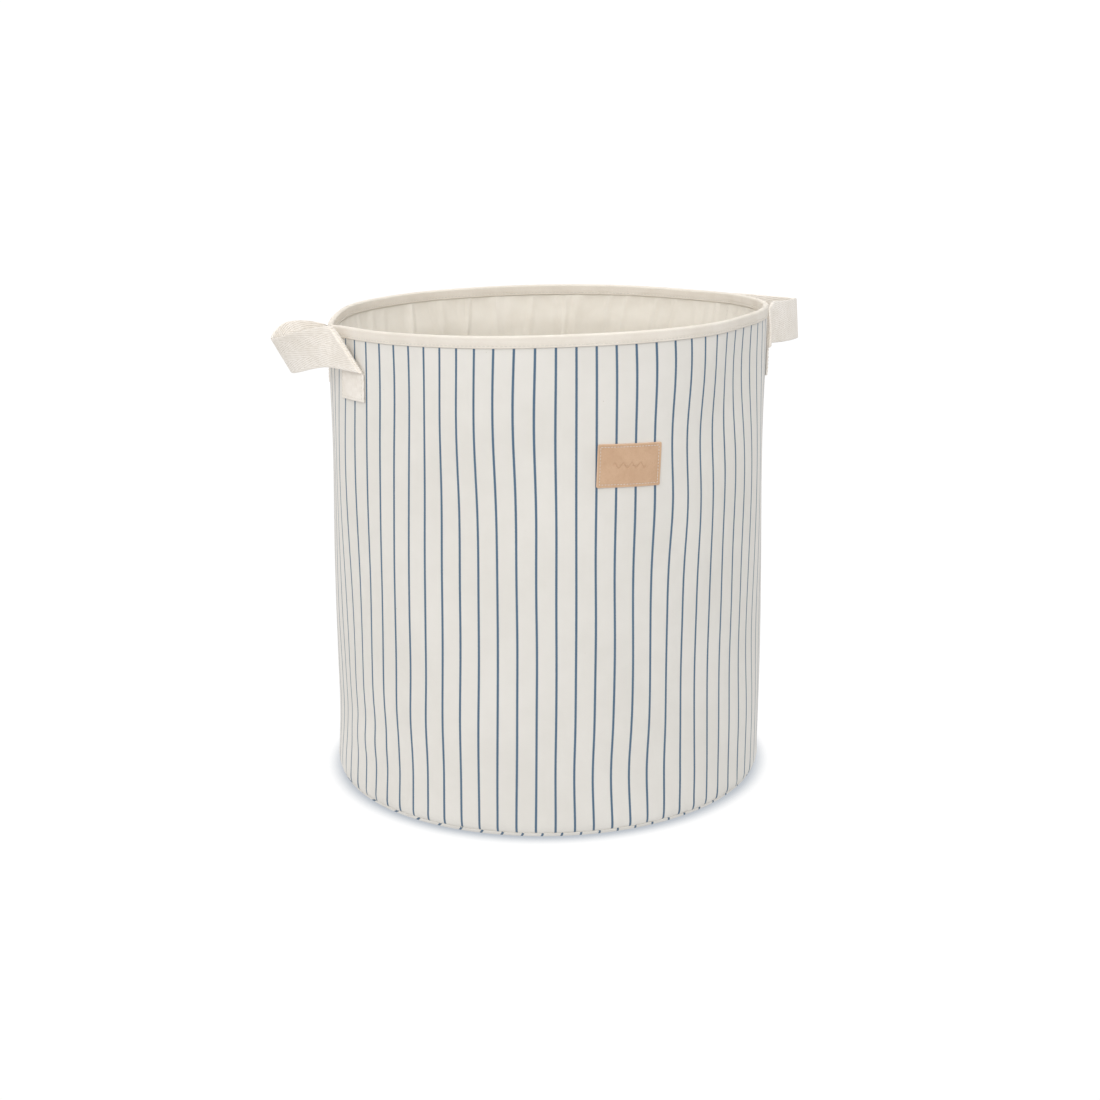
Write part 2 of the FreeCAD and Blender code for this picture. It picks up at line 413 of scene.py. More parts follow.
class Twill(Effect):
    """Slanting ridges that turn back at each column, as in tape and herringbone webbing."""

    name = "twill"
    takes = (
        ("Spacing", "NodeSocketFloat", 0.0011),
        ("Column", "NodeSocketFloat", 0.0095),
        ("Slope", "NodeSocketFloat", 1.0),
    )
    gives = ("Height", "Gap")

    @classmethod
    def lay(cls, bench: Bench, given: Any) -> dict[str, Socket]:
        """Lay ridges along the slant, and mark the grooves between them, which the tape finishes darken as
        painted shade.

        Args:
            bench: the bench of the tree.
            given: the group's input sockets.

        Returns:
            A socket for each thing it gives.
        """
        across, along = bench.parts(given["Cloth"])
        slant = bench.math("PINGPONG", across, given["Column"])
        run = bench.times_plus(along, given["Slope"], slant)
        ridge_at = bench.math("DIVIDE", run, given["Spacing"])
        wander = bench.times(bench.noise(given["Cloth"], 0.006, 2.0), 0.5)
        wave = bench.math("SINE", bench.times(bench.math("ADD", ridge_at, wander), 2 * math.pi))
        height = bench.times_plus(wave, 0.5, 0.5)
        turn = bench.math("DIVIDE", bench.times(across, 2 * math.pi), given["Spacing"])
        yarn = bench.math("SINE", turn)
        height = bench.times_plus(yarn, 0.12, height)
        return {"Height": height, "Gap": bench.span(height, 0.35, 0.0)}


class Slubs(Effect):
    """Thick places in the yarn and the small seed flecks of natural cotton."""

    name = "slubs_and_flecks"
    takes = (("Amount", "NodeSocketFloat", 0.5),)
    gives = ("Slub", "Fleck")

    @classmethod
    def lay(cls, bench: Bench, given: Any) -> dict[str, Socket]:
        """Draw out noise along each yarn direction, and scatter a few dots.

        Args:
            bench: the bench of the tree.
            given: the group's input sockets.

        Returns:
            A socket for each thing it gives.
        """
        upright = bench.noise(bench.stretched(given["Cloth"], 1.0, 0.03), 0.0011, 1.0)
        level = bench.noise(bench.stretched(given["Cloth"], 0.05, 1.0), 0.0012, 1.0)
        slub = bench.math("ADD", bench.span(upright, 0.56, 0.78), bench.span(level, 0.58, 0.8))
        slub = bench.times(slub, given["Amount"])
        cells = bench.node("TexVoronoi", {"Vector": given["Cloth"], "Scale": 75.0})
        dot = bench.span(cells.outputs["Distance"], 0.035, 0.015)
        chosen = bench.node("SeparateColor", {0: cells.outputs["Color"]}).outputs[0]
        fleck = bench.times(dot, bench.math("LESS_THAN", chosen, given["Amount"]))
        return {"Slub": slub, "Fleck": fleck}


class Drift(Effect):
    """Slow changes of tone over a piece, from dyeing, pressing and handling."""

    name = "tone_drift"
    takes = (("Patch", "NodeSocketFloat", 0.06),)
    gives = ("Tone",)

    @classmethod
    def lay(cls, bench: Bench, given: Any) -> dict[str, Socket]:
        """Mix a broad and a finer cloud of noise.

        Args:
            bench: the bench of the tree.
            given: the group's input sockets.

        Returns:
            A socket for each thing it gives.
        """
        scaled = bench.node("VectorMath", {0: given["Cloth"]}, operation="SCALE")
        bench.tree.links.new(bench.math("DIVIDE", 1.0, given["Patch"]), scaled.inputs["Scale"])
        broad = bench.noise(scaled.outputs[0], 1.0, 2.0)
        fine = bench.noise(scaled.outputs[0], 0.2, 3.0)
        return {"Tone": bench.span(bench.times_plus(fine, 0.35, broad), 0.45, 0.9)}


class Fibre(Effect):
    """The short hairs that stand off spun cotton."""

    name = "fibre"
    takes = (("Length", "NodeSocketFloat", 0.0012),)
    gives = ("Height",)

    @classmethod
    def lay(cls, bench: Bench, given: Any) -> dict[str, Socket]:
        """Lay two crossed layers of drawn-out noise.

        Args:
            bench: the bench of the tree.
            given: the group's input sockets.

        Returns:
            A socket for each thing it gives.
        """
        scaled = bench.node("VectorMath", {0: given["Cloth"]}, operation="SCALE")
        bench.tree.links.new(bench.math("DIVIDE", 1.0, given["Length"]), scaled.inputs["Scale"])
        one = bench.noise(bench.stretched(scaled.outputs[0], 1.0, 4.0), 1.0, 2.0)
        two = bench.noise(bench.stretched(scaled.outputs[0], 5.0, 1.0), 1.0, 2.0)
        return {"Height": bench.math("MAXIMUM", one, two)}


# ---- Finishes ----

Colour = tuple[float, float, float, float]


def shade(red: float, green: float, blue: float) -> Colour:
    """A colour from its three linear parts."""
    return red, green, blue, 1.0


WHITE = shade(1.0, 1.0, 1.0)


@dataclass(frozen=True)
class Finish:
    """What every finish has: a name, a roughness, a sheen and how deep its relief is."""

    name: str = "finish"
    rough: float = 0.85
    sheen: float = 0.1
    gloss: float = 0.2
    sheen_rough: float = 0.6
    relief: float = 0.0002

    def material(self) -> Material:
        """The material of this finish, built at its first use.

        Returns:
            The material.
        """
        found = bpy.data.materials.get(self.name)
        if found:
            return found
        material = bpy.data.materials.new(self.name)
        material.use_nodes = True
        tree = material.node_tree
        tree.nodes.clear()
        bench = Bench(tree)
        cloth = bench.node("UVMap", uv_map=CLOTH_MAP).outputs[0]
        colour, rough, height = self.lay(bench, cloth)
        bump = bench.node("Bump", {"Strength": 1.0, "Distance": self.relief, "Height": height})
        inputs = {
            "Base Color": colour,
            "Roughness": rough,
            "Specular IOR Level": self.gloss,
            "Sheen Weight": self.sheen,
            "Sheen Roughness": self.sheen_rough,
            "Normal": bump.outputs[0],
        }
        shader = bench.node("BsdfPrincipled", inputs)
        bench.node("OutputMaterial", {"Surface": shader.outputs[0]})
        return material

    def lay(self, bench: Bench, cloth: Socket) -> Look:
        """Lay the finish's nodes and return its colour, roughness and relief height."""
        raise NotImplementedError


@dataclass(frozen=True)
class StripedCanvas(Finish):
    """Unbleached cotton canvas with narrow blue stripes."""

    name: str = "canvas_with_blue_stripes"
    relief: float = 0.00012
    ground: Colour = shade(0.820, 0.790, 0.740)
    ground_deep: Colour = shade(0.775, 0.745, 0.692)
    stripe: Colour = shade(0.066, 0.128, 0.205)
    stripe_worn: Colour = shade(0.115, 0.190, 0.275)
    pitch: float = 16.5 * MM
    width: float = 2.0 * MM
    first: float = -50.0 * MM
    soft_edge: float = 0.28 * MM
    ragged: float = 0.3 * MM
    yarn: float = 0.62 * MM
    slub: Colour = shade(0.80, 0.78, 0.745)
    fleck: Colour = shade(0.35, 0.27, 0.18)
    slubs: float = 0.22
    slub_share: float = 0.30
    fleck_share: float = 0.5
    # how strongly painted shade darkens the gaps between yarns
    gap_shade_share: float = 0.22
    patch: float = 0.09

    def lay(self, bench: Bench, cloth: Socket) -> Look:
        """Weave the ground with painted shade in its gaps, lay the stripes over it and scatter slubs and
        flecks.

        Args:
            bench: the bench of the tree.
            cloth: the cloth coordinates.

        Returns:
            Sockets for the colour, the roughness and the relief height.
        """
        weave = PlainWeave.place(bench, cloth, Spacing=self.yarn, Unevenness=0.6)
        slubs = Slubs.place(bench, cloth, Amount=self.slubs)
        tone = Drift.place(bench, cloth, Patch=self.patch)["Tone"]
        ground = bench.mix(tone, self.ground, self.ground_deep)
        # painted shade: the gaps between yarns are darkened towards the deep ground tone
        ground = bench.mix(bench.times(weave["Gap"], self.gap_shade_share), ground, self.ground_deep)
        ground = bench.mix(bench.times(slubs["Slub"], self.slub_share), ground, self.slub)
        ground = bench.mix(bench.times(slubs["Fleck"], self.fleck_share), ground, self.fleck)
        across, _ = bench.parts(cloth)
        ragged = bench.noise(cloth, 0.9 * MM, 2.0)
        shifted = bench.times_plus(ragged, self.ragged, across)
        repeat = bench.math("DIVIDE", bench.math("SUBTRACT", shifted, self.first), self.pitch)
        off_middle = bench.math("ABSOLUTE", bench.math("SUBTRACT", bench.math("FRACT", repeat), 0.5))
        off_stripe = bench.times(bench.math("SUBTRACT", 0.5, off_middle), self.pitch)
        half = self.width / 2
        on_stripe = bench.span(off_stripe, half + self.soft_edge, half - self.soft_edge)
        faded = bench.noise(bench.stretched(cloth, 1.0, 0.2), 3.0 * MM, 3.0)
        fade = bench.times_plus(weave["Gap"], 0.25, bench.times(faded, 0.8))
        blue = bench.mix(fade, self.stripe, self.stripe_worn)
        colour = bench.mix(on_stripe, ground, blue)
        rough = bench.span(tone, 0.0, 1.0, self.rough, self.rough - 0.08)
        height = bench.times_plus(slubs["Slub"], 0.5, weave["Height"])
        return colour, rough, height


@dataclass(frozen=True)
class PlainCotton(Finish):
    """Plain natural cotton cloth for the lining."""

    name: str = "natural_lining_cotton"
    relief: float = 0.00009
    light: Colour = shade(0.885, 0.840, 0.760)
    dark: Colour = shade(0.825, 0.775, 0.690)
    slub: Colour = shade(0.84, 0.80, 0.73)
    slubs: float = 0.3
    slub_share: float = 0.25
    # how strongly painted shade darkens the gaps between yarns
    gap_shade_share: float = 0.25
    yarn: float = 0.42 * MM
    patch: float = 0.05

    def lay(self, bench: Bench, cloth: Socket) -> Look:
        """Weave the cloth in one natural tone that drifts a little, with painted shade in the gaps between
        yarns.

        Args:
            bench: the bench of the tree.
            cloth: the cloth coordinates.

        Returns:
            Sockets for the colour, the roughness and the relief height.
        """
        weave = PlainWeave.place(bench, cloth, Spacing=self.yarn, Unevenness=0.8)
        slubs = Slubs.place(bench, cloth, Amount=self.slubs)
        tone = Drift.place(bench, cloth, Patch=self.patch)["Tone"]
        colour = bench.mix(tone, self.light, self.dark)
        # painted shade: the gaps between yarns are darkened towards the dark tone
        colour = bench.mix(bench.times(weave["Gap"], self.gap_shade_share), colour, self.dark)
        colour = bench.mix(bench.times(slubs["Slub"], self.slub_share), colour, self.slub)
        height = bench.times_plus(slubs["Slub"], 0.4, weave["Height"])
        rough = bench.span(tone, 0.0, 1.0, self.rough, self.rough - 0.06)
        return colour, rough, height


@dataclass(frozen=True)
class TwillTape(Finish):
    """Cotton tape or webbing with a slanting weave."""

    name: str = "slant_woven_tape"
    relief: float = 0.00018
    light: Colour = shade(0.945, 0.880, 0.790)
    dark: Colour = shade(0.83, 0.755, 0.655)
    slub: Colour = shade(0.82, 0.77, 0.69)
    slubs: float = 0.35
    patch: float = 0.03
    fibre: float = 1.4 * MM
    slub_share: float = 0.3
    spacing: float = 0.8 * MM
    column: float = 1.0
    slope: float = 1.0
    fuzz: float = 0.35
    # how strongly painted shade darkens the grooves of the twill
    groove_shade: float = 0.55

    def lay(self, bench: Bench, cloth: Socket) -> Look:
        """Lay the slanting ridges, their grooves with painted shade in them, and a little loose fibre.

        Args:
            bench: the bench of the tree.
            cloth: the cloth coordinates.

        Returns:
            Sockets for the colour, the roughness and the relief height.
        """
        twill = Twill.place(bench, cloth, Spacing=self.spacing, Column=self.column, Slope=self.slope)
        fibre = Fibre.place(bench, cloth, Length=self.fibre)["Height"]
        slubs = Slubs.place(bench, cloth, Amount=self.slubs)
        tone = Drift.place(bench, cloth, Patch=self.patch)["Tone"]
        colour = bench.mix(tone, self.light, bench.mix(0.5, self.light, self.dark))
        # painted shade: the grooves of the twill are darkened towards the dark tone
        colour = bench.mix(bench.times(twill["Gap"], self.groove_shade), colour, self.dark)
        colour = bench.mix(bench.times(slubs["Slub"], self.slub_share), colour, self.slub)
        height = bench.times_plus(fibre, self.fuzz, twill["Height"])
        rough = bench.span(fibre, 0.3, 0.7, self.rough - 0.06, self.rough)
        return colour, rough, height


@dataclass(frozen=True)
class Thread(Finish):
    """Two-ply sewing thread, twisted along its length."""

    name: str = "two_ply_thread"
    relief: float = 0.00008
    rough: float = 0.6
    light: Colour = shade(0.80, 0.76, 0.69)
    dark: Colour = shade(0.58, 0.53, 0.45)
    twist: float = 0.9 * MM
    fibre: float = 0.5 * MM
    # how strongly painted shade darkens the groove between the plies
    groove_shade: float = 0.7

    def lay(self, bench: Bench, cloth: Socket) -> Look:
        """Turn the plies round the thread, with painted shade in the groove between them.

        Args:
            bench: the bench of the tree.
            cloth: the cloth coordinates.

        Returns:
            Sockets for the colour, the roughness and the relief height.
        """
        across, along = bench.parts(cloth)
        turn = bench.math("DIVIDE", bench.math("ADD", along, across), self.twist)
        wave = bench.math("SINE", bench.times(turn, 2 * math.pi))
        ply = bench.times_plus(wave, 0.5, 0.5)
        fibre = Fibre.place(bench, cloth, Length=self.fibre)["Height"]
        # painted shade: the groove between the plies is darkened towards the dark tone
        groove_shade = bench.times(bench.span(ply, 0.3, 0.0), self.groove_shade)
        colour = bench.mix(groove_shade, self.light, self.dark)
        height = bench.times_plus(fibre, 0.3, ply)
        return colour, bench.span(fibre, 0.3, 0.7, self.rough - 0.05, self.rough + 0.1), height


@dataclass(frozen=True)
class Wadding(Finish):
    """Loose white fibre fill."""

    name: str = "white_fibre_fill"
    relief: float = 0.0006
    light: Colour = shade(0.86, 0.86, 0.84)
    dark: Colour = shade(0.70, 0.70, 0.68)
    long_fibre: float = 9.0 * MM
    short_fibre: float = 2.5 * MM

    def lay(self, bench: Bench, cloth: Socket) -> Look:
        """Tangle fibres of two lengths, with painted shade where they lie low.

        Args:
            bench: the bench of the tree.
            cloth: the cloth coordinates.

        Returns:
            Sockets for the colour, the roughness and the relief height.
        """
        long_fibre = Fibre.place(bench, cloth, Length=self.long_fibre)["Height"]
        short_fibre = Fibre.place(bench, cloth, Length=self.short_fibre)["Height"]
        height = bench.times_plus(short_fibre, 0.5, long_fibre)
        # painted shade: colour darker where the fibres lie lower
        colour = bench.mix(bench.span(height, 0.6, 1.0), self.dark, self.light)
        return colour, bench.span(height, 0.6, 1.0, self.rough, 0.95), height


@dataclass(frozen=True)
class TanLeather(Finish):
    """Vegetable-tanned leather: fine grain, pressed mark, paler rubbed edges."""

    name: str = "tan_leather"
    rough: float = 0.55
    sheen: float = 0.0
    gloss: float = 0.35
    relief: float = 0.00022
    light: Colour = shade(0.610, 0.400, 0.255)
    dark: Colour = shade(0.480, 0.290, 0.170)
    edge: Colour = shade(0.74, 0.53, 0.37)
    pores: float = 1400.0
    crease: float = 3.5 * MM
    patch: float = 0.018
    pore_share: float = 0.25
    crease_share: float = 0.18
    mark_share: float = 0.45
    rub_share: float = 0.7
    half_width: float = 28.0 * MM
    half_height: float = 18.0 * MM
    mark_half_length: float = 15.0 * MM
    mark_swing: float = 2.0 * MM
    mark_wave: float = 7.5 * MM
    mark_stroke: float = 0.55 * MM

    def lay(self, bench: Bench, cloth: Socket) -> Look:
        """Lay grain, pores, tone, the pressed wave and the rubbed edge.

        Args:
            bench: the bench of the tree.
            cloth: the cloth coordinates.

        Returns:
            Sockets for the colour, the roughness and the relief height.
        """
        across, up = bench.parts(cloth)
        inputs = {"Vector": cloth, "Scale": self.pores}
        cells = bench.node("TexVoronoi", inputs, feature="SMOOTH_F1").outputs[0]
        creases = bench.noise(cloth, self.crease, 4.0)
        tone = Drift.place(bench, cloth, Patch=self.patch)["Tone"]
        colour = bench.mix(tone, self.light, bench.mix(0.45, self.light, self.dark))
        pores = bench.times(bench.span(cells, 0.35, 0.7), self.pore_share)
        colour = bench.mix(pores, colour, self.dark)
        lines = bench.times(bench.span(creases, 0.58, 0.72), self.crease_share)
        colour = bench.mix(lines, colour, self.dark)
        mark = self._pressed(bench, across, up)
        colour = bench.mix(bench.times(mark, self.mark_share), colour, self.dark)
        side = bench.math("SUBTRACT", self.half_width, bench.math("ABSOLUTE", across))
        end = bench.math("SUBTRACT", self.half_height, bench.math("ABSOLUTE", up))
        inset = bench.math("MINIMUM", side, end)
        ragged = bench.times_plus(bench.noise(cloth, 2.0 * MM, 3.0), 1.2 * MM, inset)
        rubbed = bench.span(ragged, 1.7 * MM, 0.4 * MM)
        colour = bench.mix(bench.times(rubbed, self.rub_share), colour, self.edge)
        height = bench.times_plus(creases, 0.9, bench.times(cells, -0.5))
        rough = bench.times_plus(tone, 0.12, self.rough - 0.06)
        return colour, rough, height

    def _pressed(self, bench: Bench, across: Socket, up: Socket) -> Socket:
        """The mask of the wave that is pressed into the middle.

        Args:
            bench: the bench of the tree.
            across: the cloth coordinate across the label.
            up: the cloth coordinate up the label.

        Returns:
            The mask.
        """
        turn = bench.math("DIVIDE", bench.times(across, 2 * math.pi), self.mark_wave)
        curve = bench.times(bench.math("SINE", turn), self.mark_swing)
        off = bench.math("ABSOLUTE", bench.math("SUBTRACT", up, curve))
        stroke = bench.span(off, self.mark_stroke * 2.2, self.mark_stroke * 0.8)
        end = self.mark_half_length
        inside = bench.span(bench.math("ABSOLUTE", across), end, end - MM)
        return bench.times(stroke, inside)


class Stock(Enum):
    """The finishes on the shelf, each under a short name."""

    CANVAS = "striped_canvas"
    LINING = "lining_cotton"
    FILLING = "wadding"
    TAPE = "binding_tape"
    WEBBING = "webbing"
    THREAD = "sewing_thread"
    LEATHER = "label_leather"

    def finish(self) -> Finish:
        """The finish that this slot stands for."""
        webbing = TwillTape(
            name="herringbone_webbing",
            relief=0.0002,
            light=shade(0.925, 0.870, 0.805),
            dark=shade(0.74, 0.675, 0.585),
            spacing=1.9 * MM,
            column=9.5 * MM,
            slope=0.24,
            fuzz=0.4,
            # painted shade in the webbing's grooves
            groove_shade=0.7,
        )
        return {
            Stock.CANVAS: StripedCanvas(),
            Stock.LINING: PlainCotton(),
            Stock.FILLING: Wadding(),
            Stock.TAPE: TwillTape(),
            Stock.WEBBING: webbing,
            Stock.THREAD: Thread(),
            Stock.LEATHER: TanLeather(),
        }[self]

    def dress(self, surface: Surface, name: str) -> Piece:
        """Make a surface into a piece of this finish.

        Args:
            surface: the surface.
            name: the piece's name.

        Returns:
            The new piece.
        """
        piece = surface.piece(name, self.finish().material())
        return piece


def on_bin(piece: Piece, node: str) -> Piece:
    """Let a piece take a CAD node's place and stay with the bin.

    Args:
        piece: the piece.
        node: the node that it takes the place of.

    Returns:
        The same piece.
    """
    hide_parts(node)
    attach(piece, "bin")
    return piece


# ---- The wall ----


@dataclass(frozen=True)
class SoftSpot:
    """A place where the padded wall is pressed in and its cloth pulled aside.

    Attributes:
        around: degrees from the front centre line towards +X.
        level: height above the floor.
        half_width: how wide it is, in degrees.
        half_height: how tall it is.
        depth: how far the wall goes in; negative swells out.
        pull: how far the cloth moves towards +X round the wall.
        sink: how far the wall settles downwards.
    """

    around: float
    level: float
    half_width: float
    half_height: float
    depth: float = 0.0
    pull: float = 0.0
    sink: float = 0.0

    def share(self, angle: Array, level: Array) -> Array:
        """How much of the spot is felt at a place on the wall, from 0 to 1."""
        sideways = around_gap(angle, math.radians(self.around)) / math.radians(self.half_width)
        return bell(sideways) * bell((level - self.level) / self.half_height)


# waves of the wall: how many go round, how fast they climb, and where they start
RIPPLES = ((5, 9.0, 0.4), (7, 14.0, 2.1), (11, 23.0, 4.0))
# sideways waves of the cloth: the same three numbers, and the size in millimetres
SWAYS = ((3, 19.0, 1.1, 0.45), (6, 31.0, 3.0, 0.3), (9, 52.0, 5.2, 0.18))


@dataclass(frozen=True)
class WallShape:
    """The soft upright wall, and where any point of it stands.

    Angles are radians from the front centre line (-Y) towards +X.
    """

    radius: float
    height: float
    taper: float = 2.0 * MM
    flatness: float = 3.0 * MM
    flat_from: float = 0.20
    flat_to: float = 0.35
    flat_turn: float = -16.0
    lean: float = 5.0 * MM
    lean_turn: float = 74.0
    rim_rise: float = 3.0 * MM
    ripple: float = 0.5 * MM
    ripples_from: float = 0.05
    stiff_foot: float = 0.012
    rim_pinch: float = 5.0 * MM
    pinch_depth: float = 40.0 * MM
    pinch_end: float = 12.0 * MM
    spots: tuple[SoftSpot, ...] = ()

    def pinch(self, level: Array) -> Array:
        """How far the inner layers come out towards the canvas near the rim, where the wadding ends."""
        start = self.height - self.pinch_depth
        return self.rim_pinch * ease((level - start) / (self.pinch_depth - self.pinch_end))

    def swell(self, angle: Array, level: Array) -> Array:
        """How far the wall stands outside a true cylinder.

        Args:
            angle: radians from the front centre line.
            level: height above the floor.

        Returns:
            Distances outwards.
        """
        share = np.clip(level / self.height, 0.0, 1.0)
        out = self.taper * (1 - 2 * share)
        squared = ease((level - self.flat_from) / (self.flat_to - self.flat_from))
        out = out - self.flatness * squared * np.cos(4 * (angle - math.radians(self.flat_turn)))
        free = ease(level / self.ripples_from)
        for turns, rise, phase in RIPPLES:
            wave = np.sin(turns * angle + phase) * np.sin(rise * level + 2 * phase)
            out = out + self.ripple * free * wave
        for spot in self.spots:
            out = out - spot.depth * spot.share(angle, level)
        return out * ease(level / self.stiff_foot)

    def pulled(self, angle: Array, level: Array) -> Array:
        """How far the cloth has moved round the wall, in metres.

        Args:
            angle: radians from the front centre line.
            level: height above the floor.

        Returns:
            Lengths round the wall.
        """
        moved = np.zeros(np.broadcast(angle, level).shape)
        for turns, rise, phase, size in SWAYS:
            moved = moved + size * MM * np.sin(rise * level + turns * angle + phase) * np.cos(turns * angle)
        for spot in self.spots:
            moved = moved + spot.pull * spot.share(angle, level)
        return moved

    def place(self, angle: Array, level: Array, radius: Array) -> Places:
        """Where a point of the wall stands.

        Args:
            angle: radians from the front centre line.
            level: height above the floor, before the rim's tilt.
            radius: distance from the axis in the true cylinder.

        Returns:
            The points, with a last axis of 3.
        """
        angle, level, radius = np.broadcast_arrays(angle, level, radius)
        reach = radius + self.swell(angle, level)
        share = np.clip(level / self.height, 0.0, 1.1)
        turn = math.radians(self.lean_turn)
        lean = self.lean * share
        x = reach * np.sin(angle) + lean * math.sin(turn)
        y = -reach * np.cos(angle) - lean * math.cos(turn)
        z = level + self.rim_rise * share**2 * np.cos(angle - turn)
        for spot in self.spots:
            z = z - spot.sink * spot.share(angle, level)
        return np.stack([x, y, z], -1)

    def outwards(self, angle: Array, level: Array, radius: Array) -> Array:
        """The direction that the wall faces at a place.

        Args:
            angle: radians from the front centre line.
            level: height above the floor.
            radius: distance from the axis in the true cylinder.

        Returns:
            Unit vectors.
        """
        small = 1e-3
        along = self.place(angle + small, level, radius) - self.place(angle - small, level, radius)
        up = self.place(angle, level + small, radius) - self.place(angle, level - small, radius)
        return unit(np.cross(along, up))


SEAM_COLUMNS = (-1.2, -0.7, -0.4, -0.2, -0.08, 0.08, 0.2, 0.4, 0.7, 1.2)  # degrees from a seam
SEAM_CLEAR = 1.5  # degrees on each side of a seam that no even column stands in


def angles_round(count: int, seam: float | None = None) -> Array:
    """Angles once round the bin, closer together at a seam.

    Args:
        count: how many even steps go round.
        seam: the seam's angle in radians, or None.

    Returns:
        Rising angles from -pi up to just before pi.
    """
    even = steps(-math.pi, math.pi, count + 1)[:-1]
    if seam is None:
        return even
    near = np.radians(np.array(SEAM_COLUMNS))
    close = (seam + near + math.pi) % (2 * math.pi) - math.pi
    gap = np.abs(around_gap(even, seam)) > math.radians(SEAM_CLEAR)
    return np.sort(np.concatenate([even[gap], close]))


def closed(angles: Array) -> Array:
    """The angles with the first one again at the end, a full turn on."""
    return np.append(angles, angles[0] + 2 * math.pi)


@dataclass
class Layer:
    """A turned layer of cloth or padding that follows the wall.

    Attributes:
        wall: the wall that it follows.
        profile: (radius, level) pairs once round its cut section.
        angles: the angles of its columns.
        relief: extra distance outwards at (angle, level, row), on top of the wall's own shape.
    """

    wall: WallShape
    profile: Array
    angles: Array
    relief: Callable[[Array, Array, Array], Array] | None = None

    def net(self) -> Places:
        """The layer's points, row by row.

        Returns:
            The points.
        """
        angle = self.angles[None, :]
        radius, level = self.profile[:, :1], self.profile[:, 1:]
        if self.relief is not None:
            rows = np.arange(len(self.profile))[:, None]
            radius = radius + self.relief(angle, level, rows)
        return self.wall.place(angle, level, radius)

    def tube(self) -> Surface:
        """The layer as a closed ring, with cloth coordinates round and up.

        Returns:
            The surface.
        """
        angle = closed(self.angles)[None, :]
        rows = np.concatenate([self.profile, self.profile[:1]])
        run = run_of(rows)[:, None]
        across = angle * self.wall.radius - self.wall.pulled(angle, rows[:, 1:])
        marks = np.stack(np.broadcast_arrays(across, run + rows[0, 1]), -1)
        return Surface(self.net(), marks, loop_rows=True)

    def disc(self, turn: float) -> Surface:
        """The layer as a round panel, with flat cloth coordinates turned by an angle.

        Args:
            turn: the angle that the cloth is turned by.

        Returns:
            The surface.
        """
        angle = closed(self.angles)[None, :] - turn
        run = run_of(self.profile)
        furthest = int(np.argmax(self.profile[:, 0]))
        reach = np.where(np.arange(len(run)) <= furthest, run, 2 * run[furthest] - run)
        reach = np.maximum(reach + self.profile[0, 0], self.profile[0, 0])[:, None]
        marks = np.stack([reach * np.sin(angle), -reach * np.cos(angle)], -1)
        return Surface(self.net(), marks, close_ends=True)


def round_corner(
    radius: float, level: float, size: float, start: float, end: float, count: int
) -> Array:
    """Points of a quarter or half round in a cut section, from one angle in degrees to another."""
    turn = np.radians(steps(start, end, count))
    return np.stack([radius + size * np.cos(turn), level + size * np.sin(turn)], -1)


def upright(radius: float, low: float, high: float, count: int) -> Array:
    """Points straight up or down a cut section."""
    return np.stack([np.full(count, radius), steps(low, high, count)], -1)


# ---- Thread ----


@dataclass(frozen=True)
class StitchLine:
    """One line of machine stitches along a path on the cloth.

    Attributes:
        path: points on the cloth's face.
        face: the direction that the cloth faces at each point.
        looped: whether the last point joins the first.
    """

    path: Places
    face: Array
    looped: bool = False


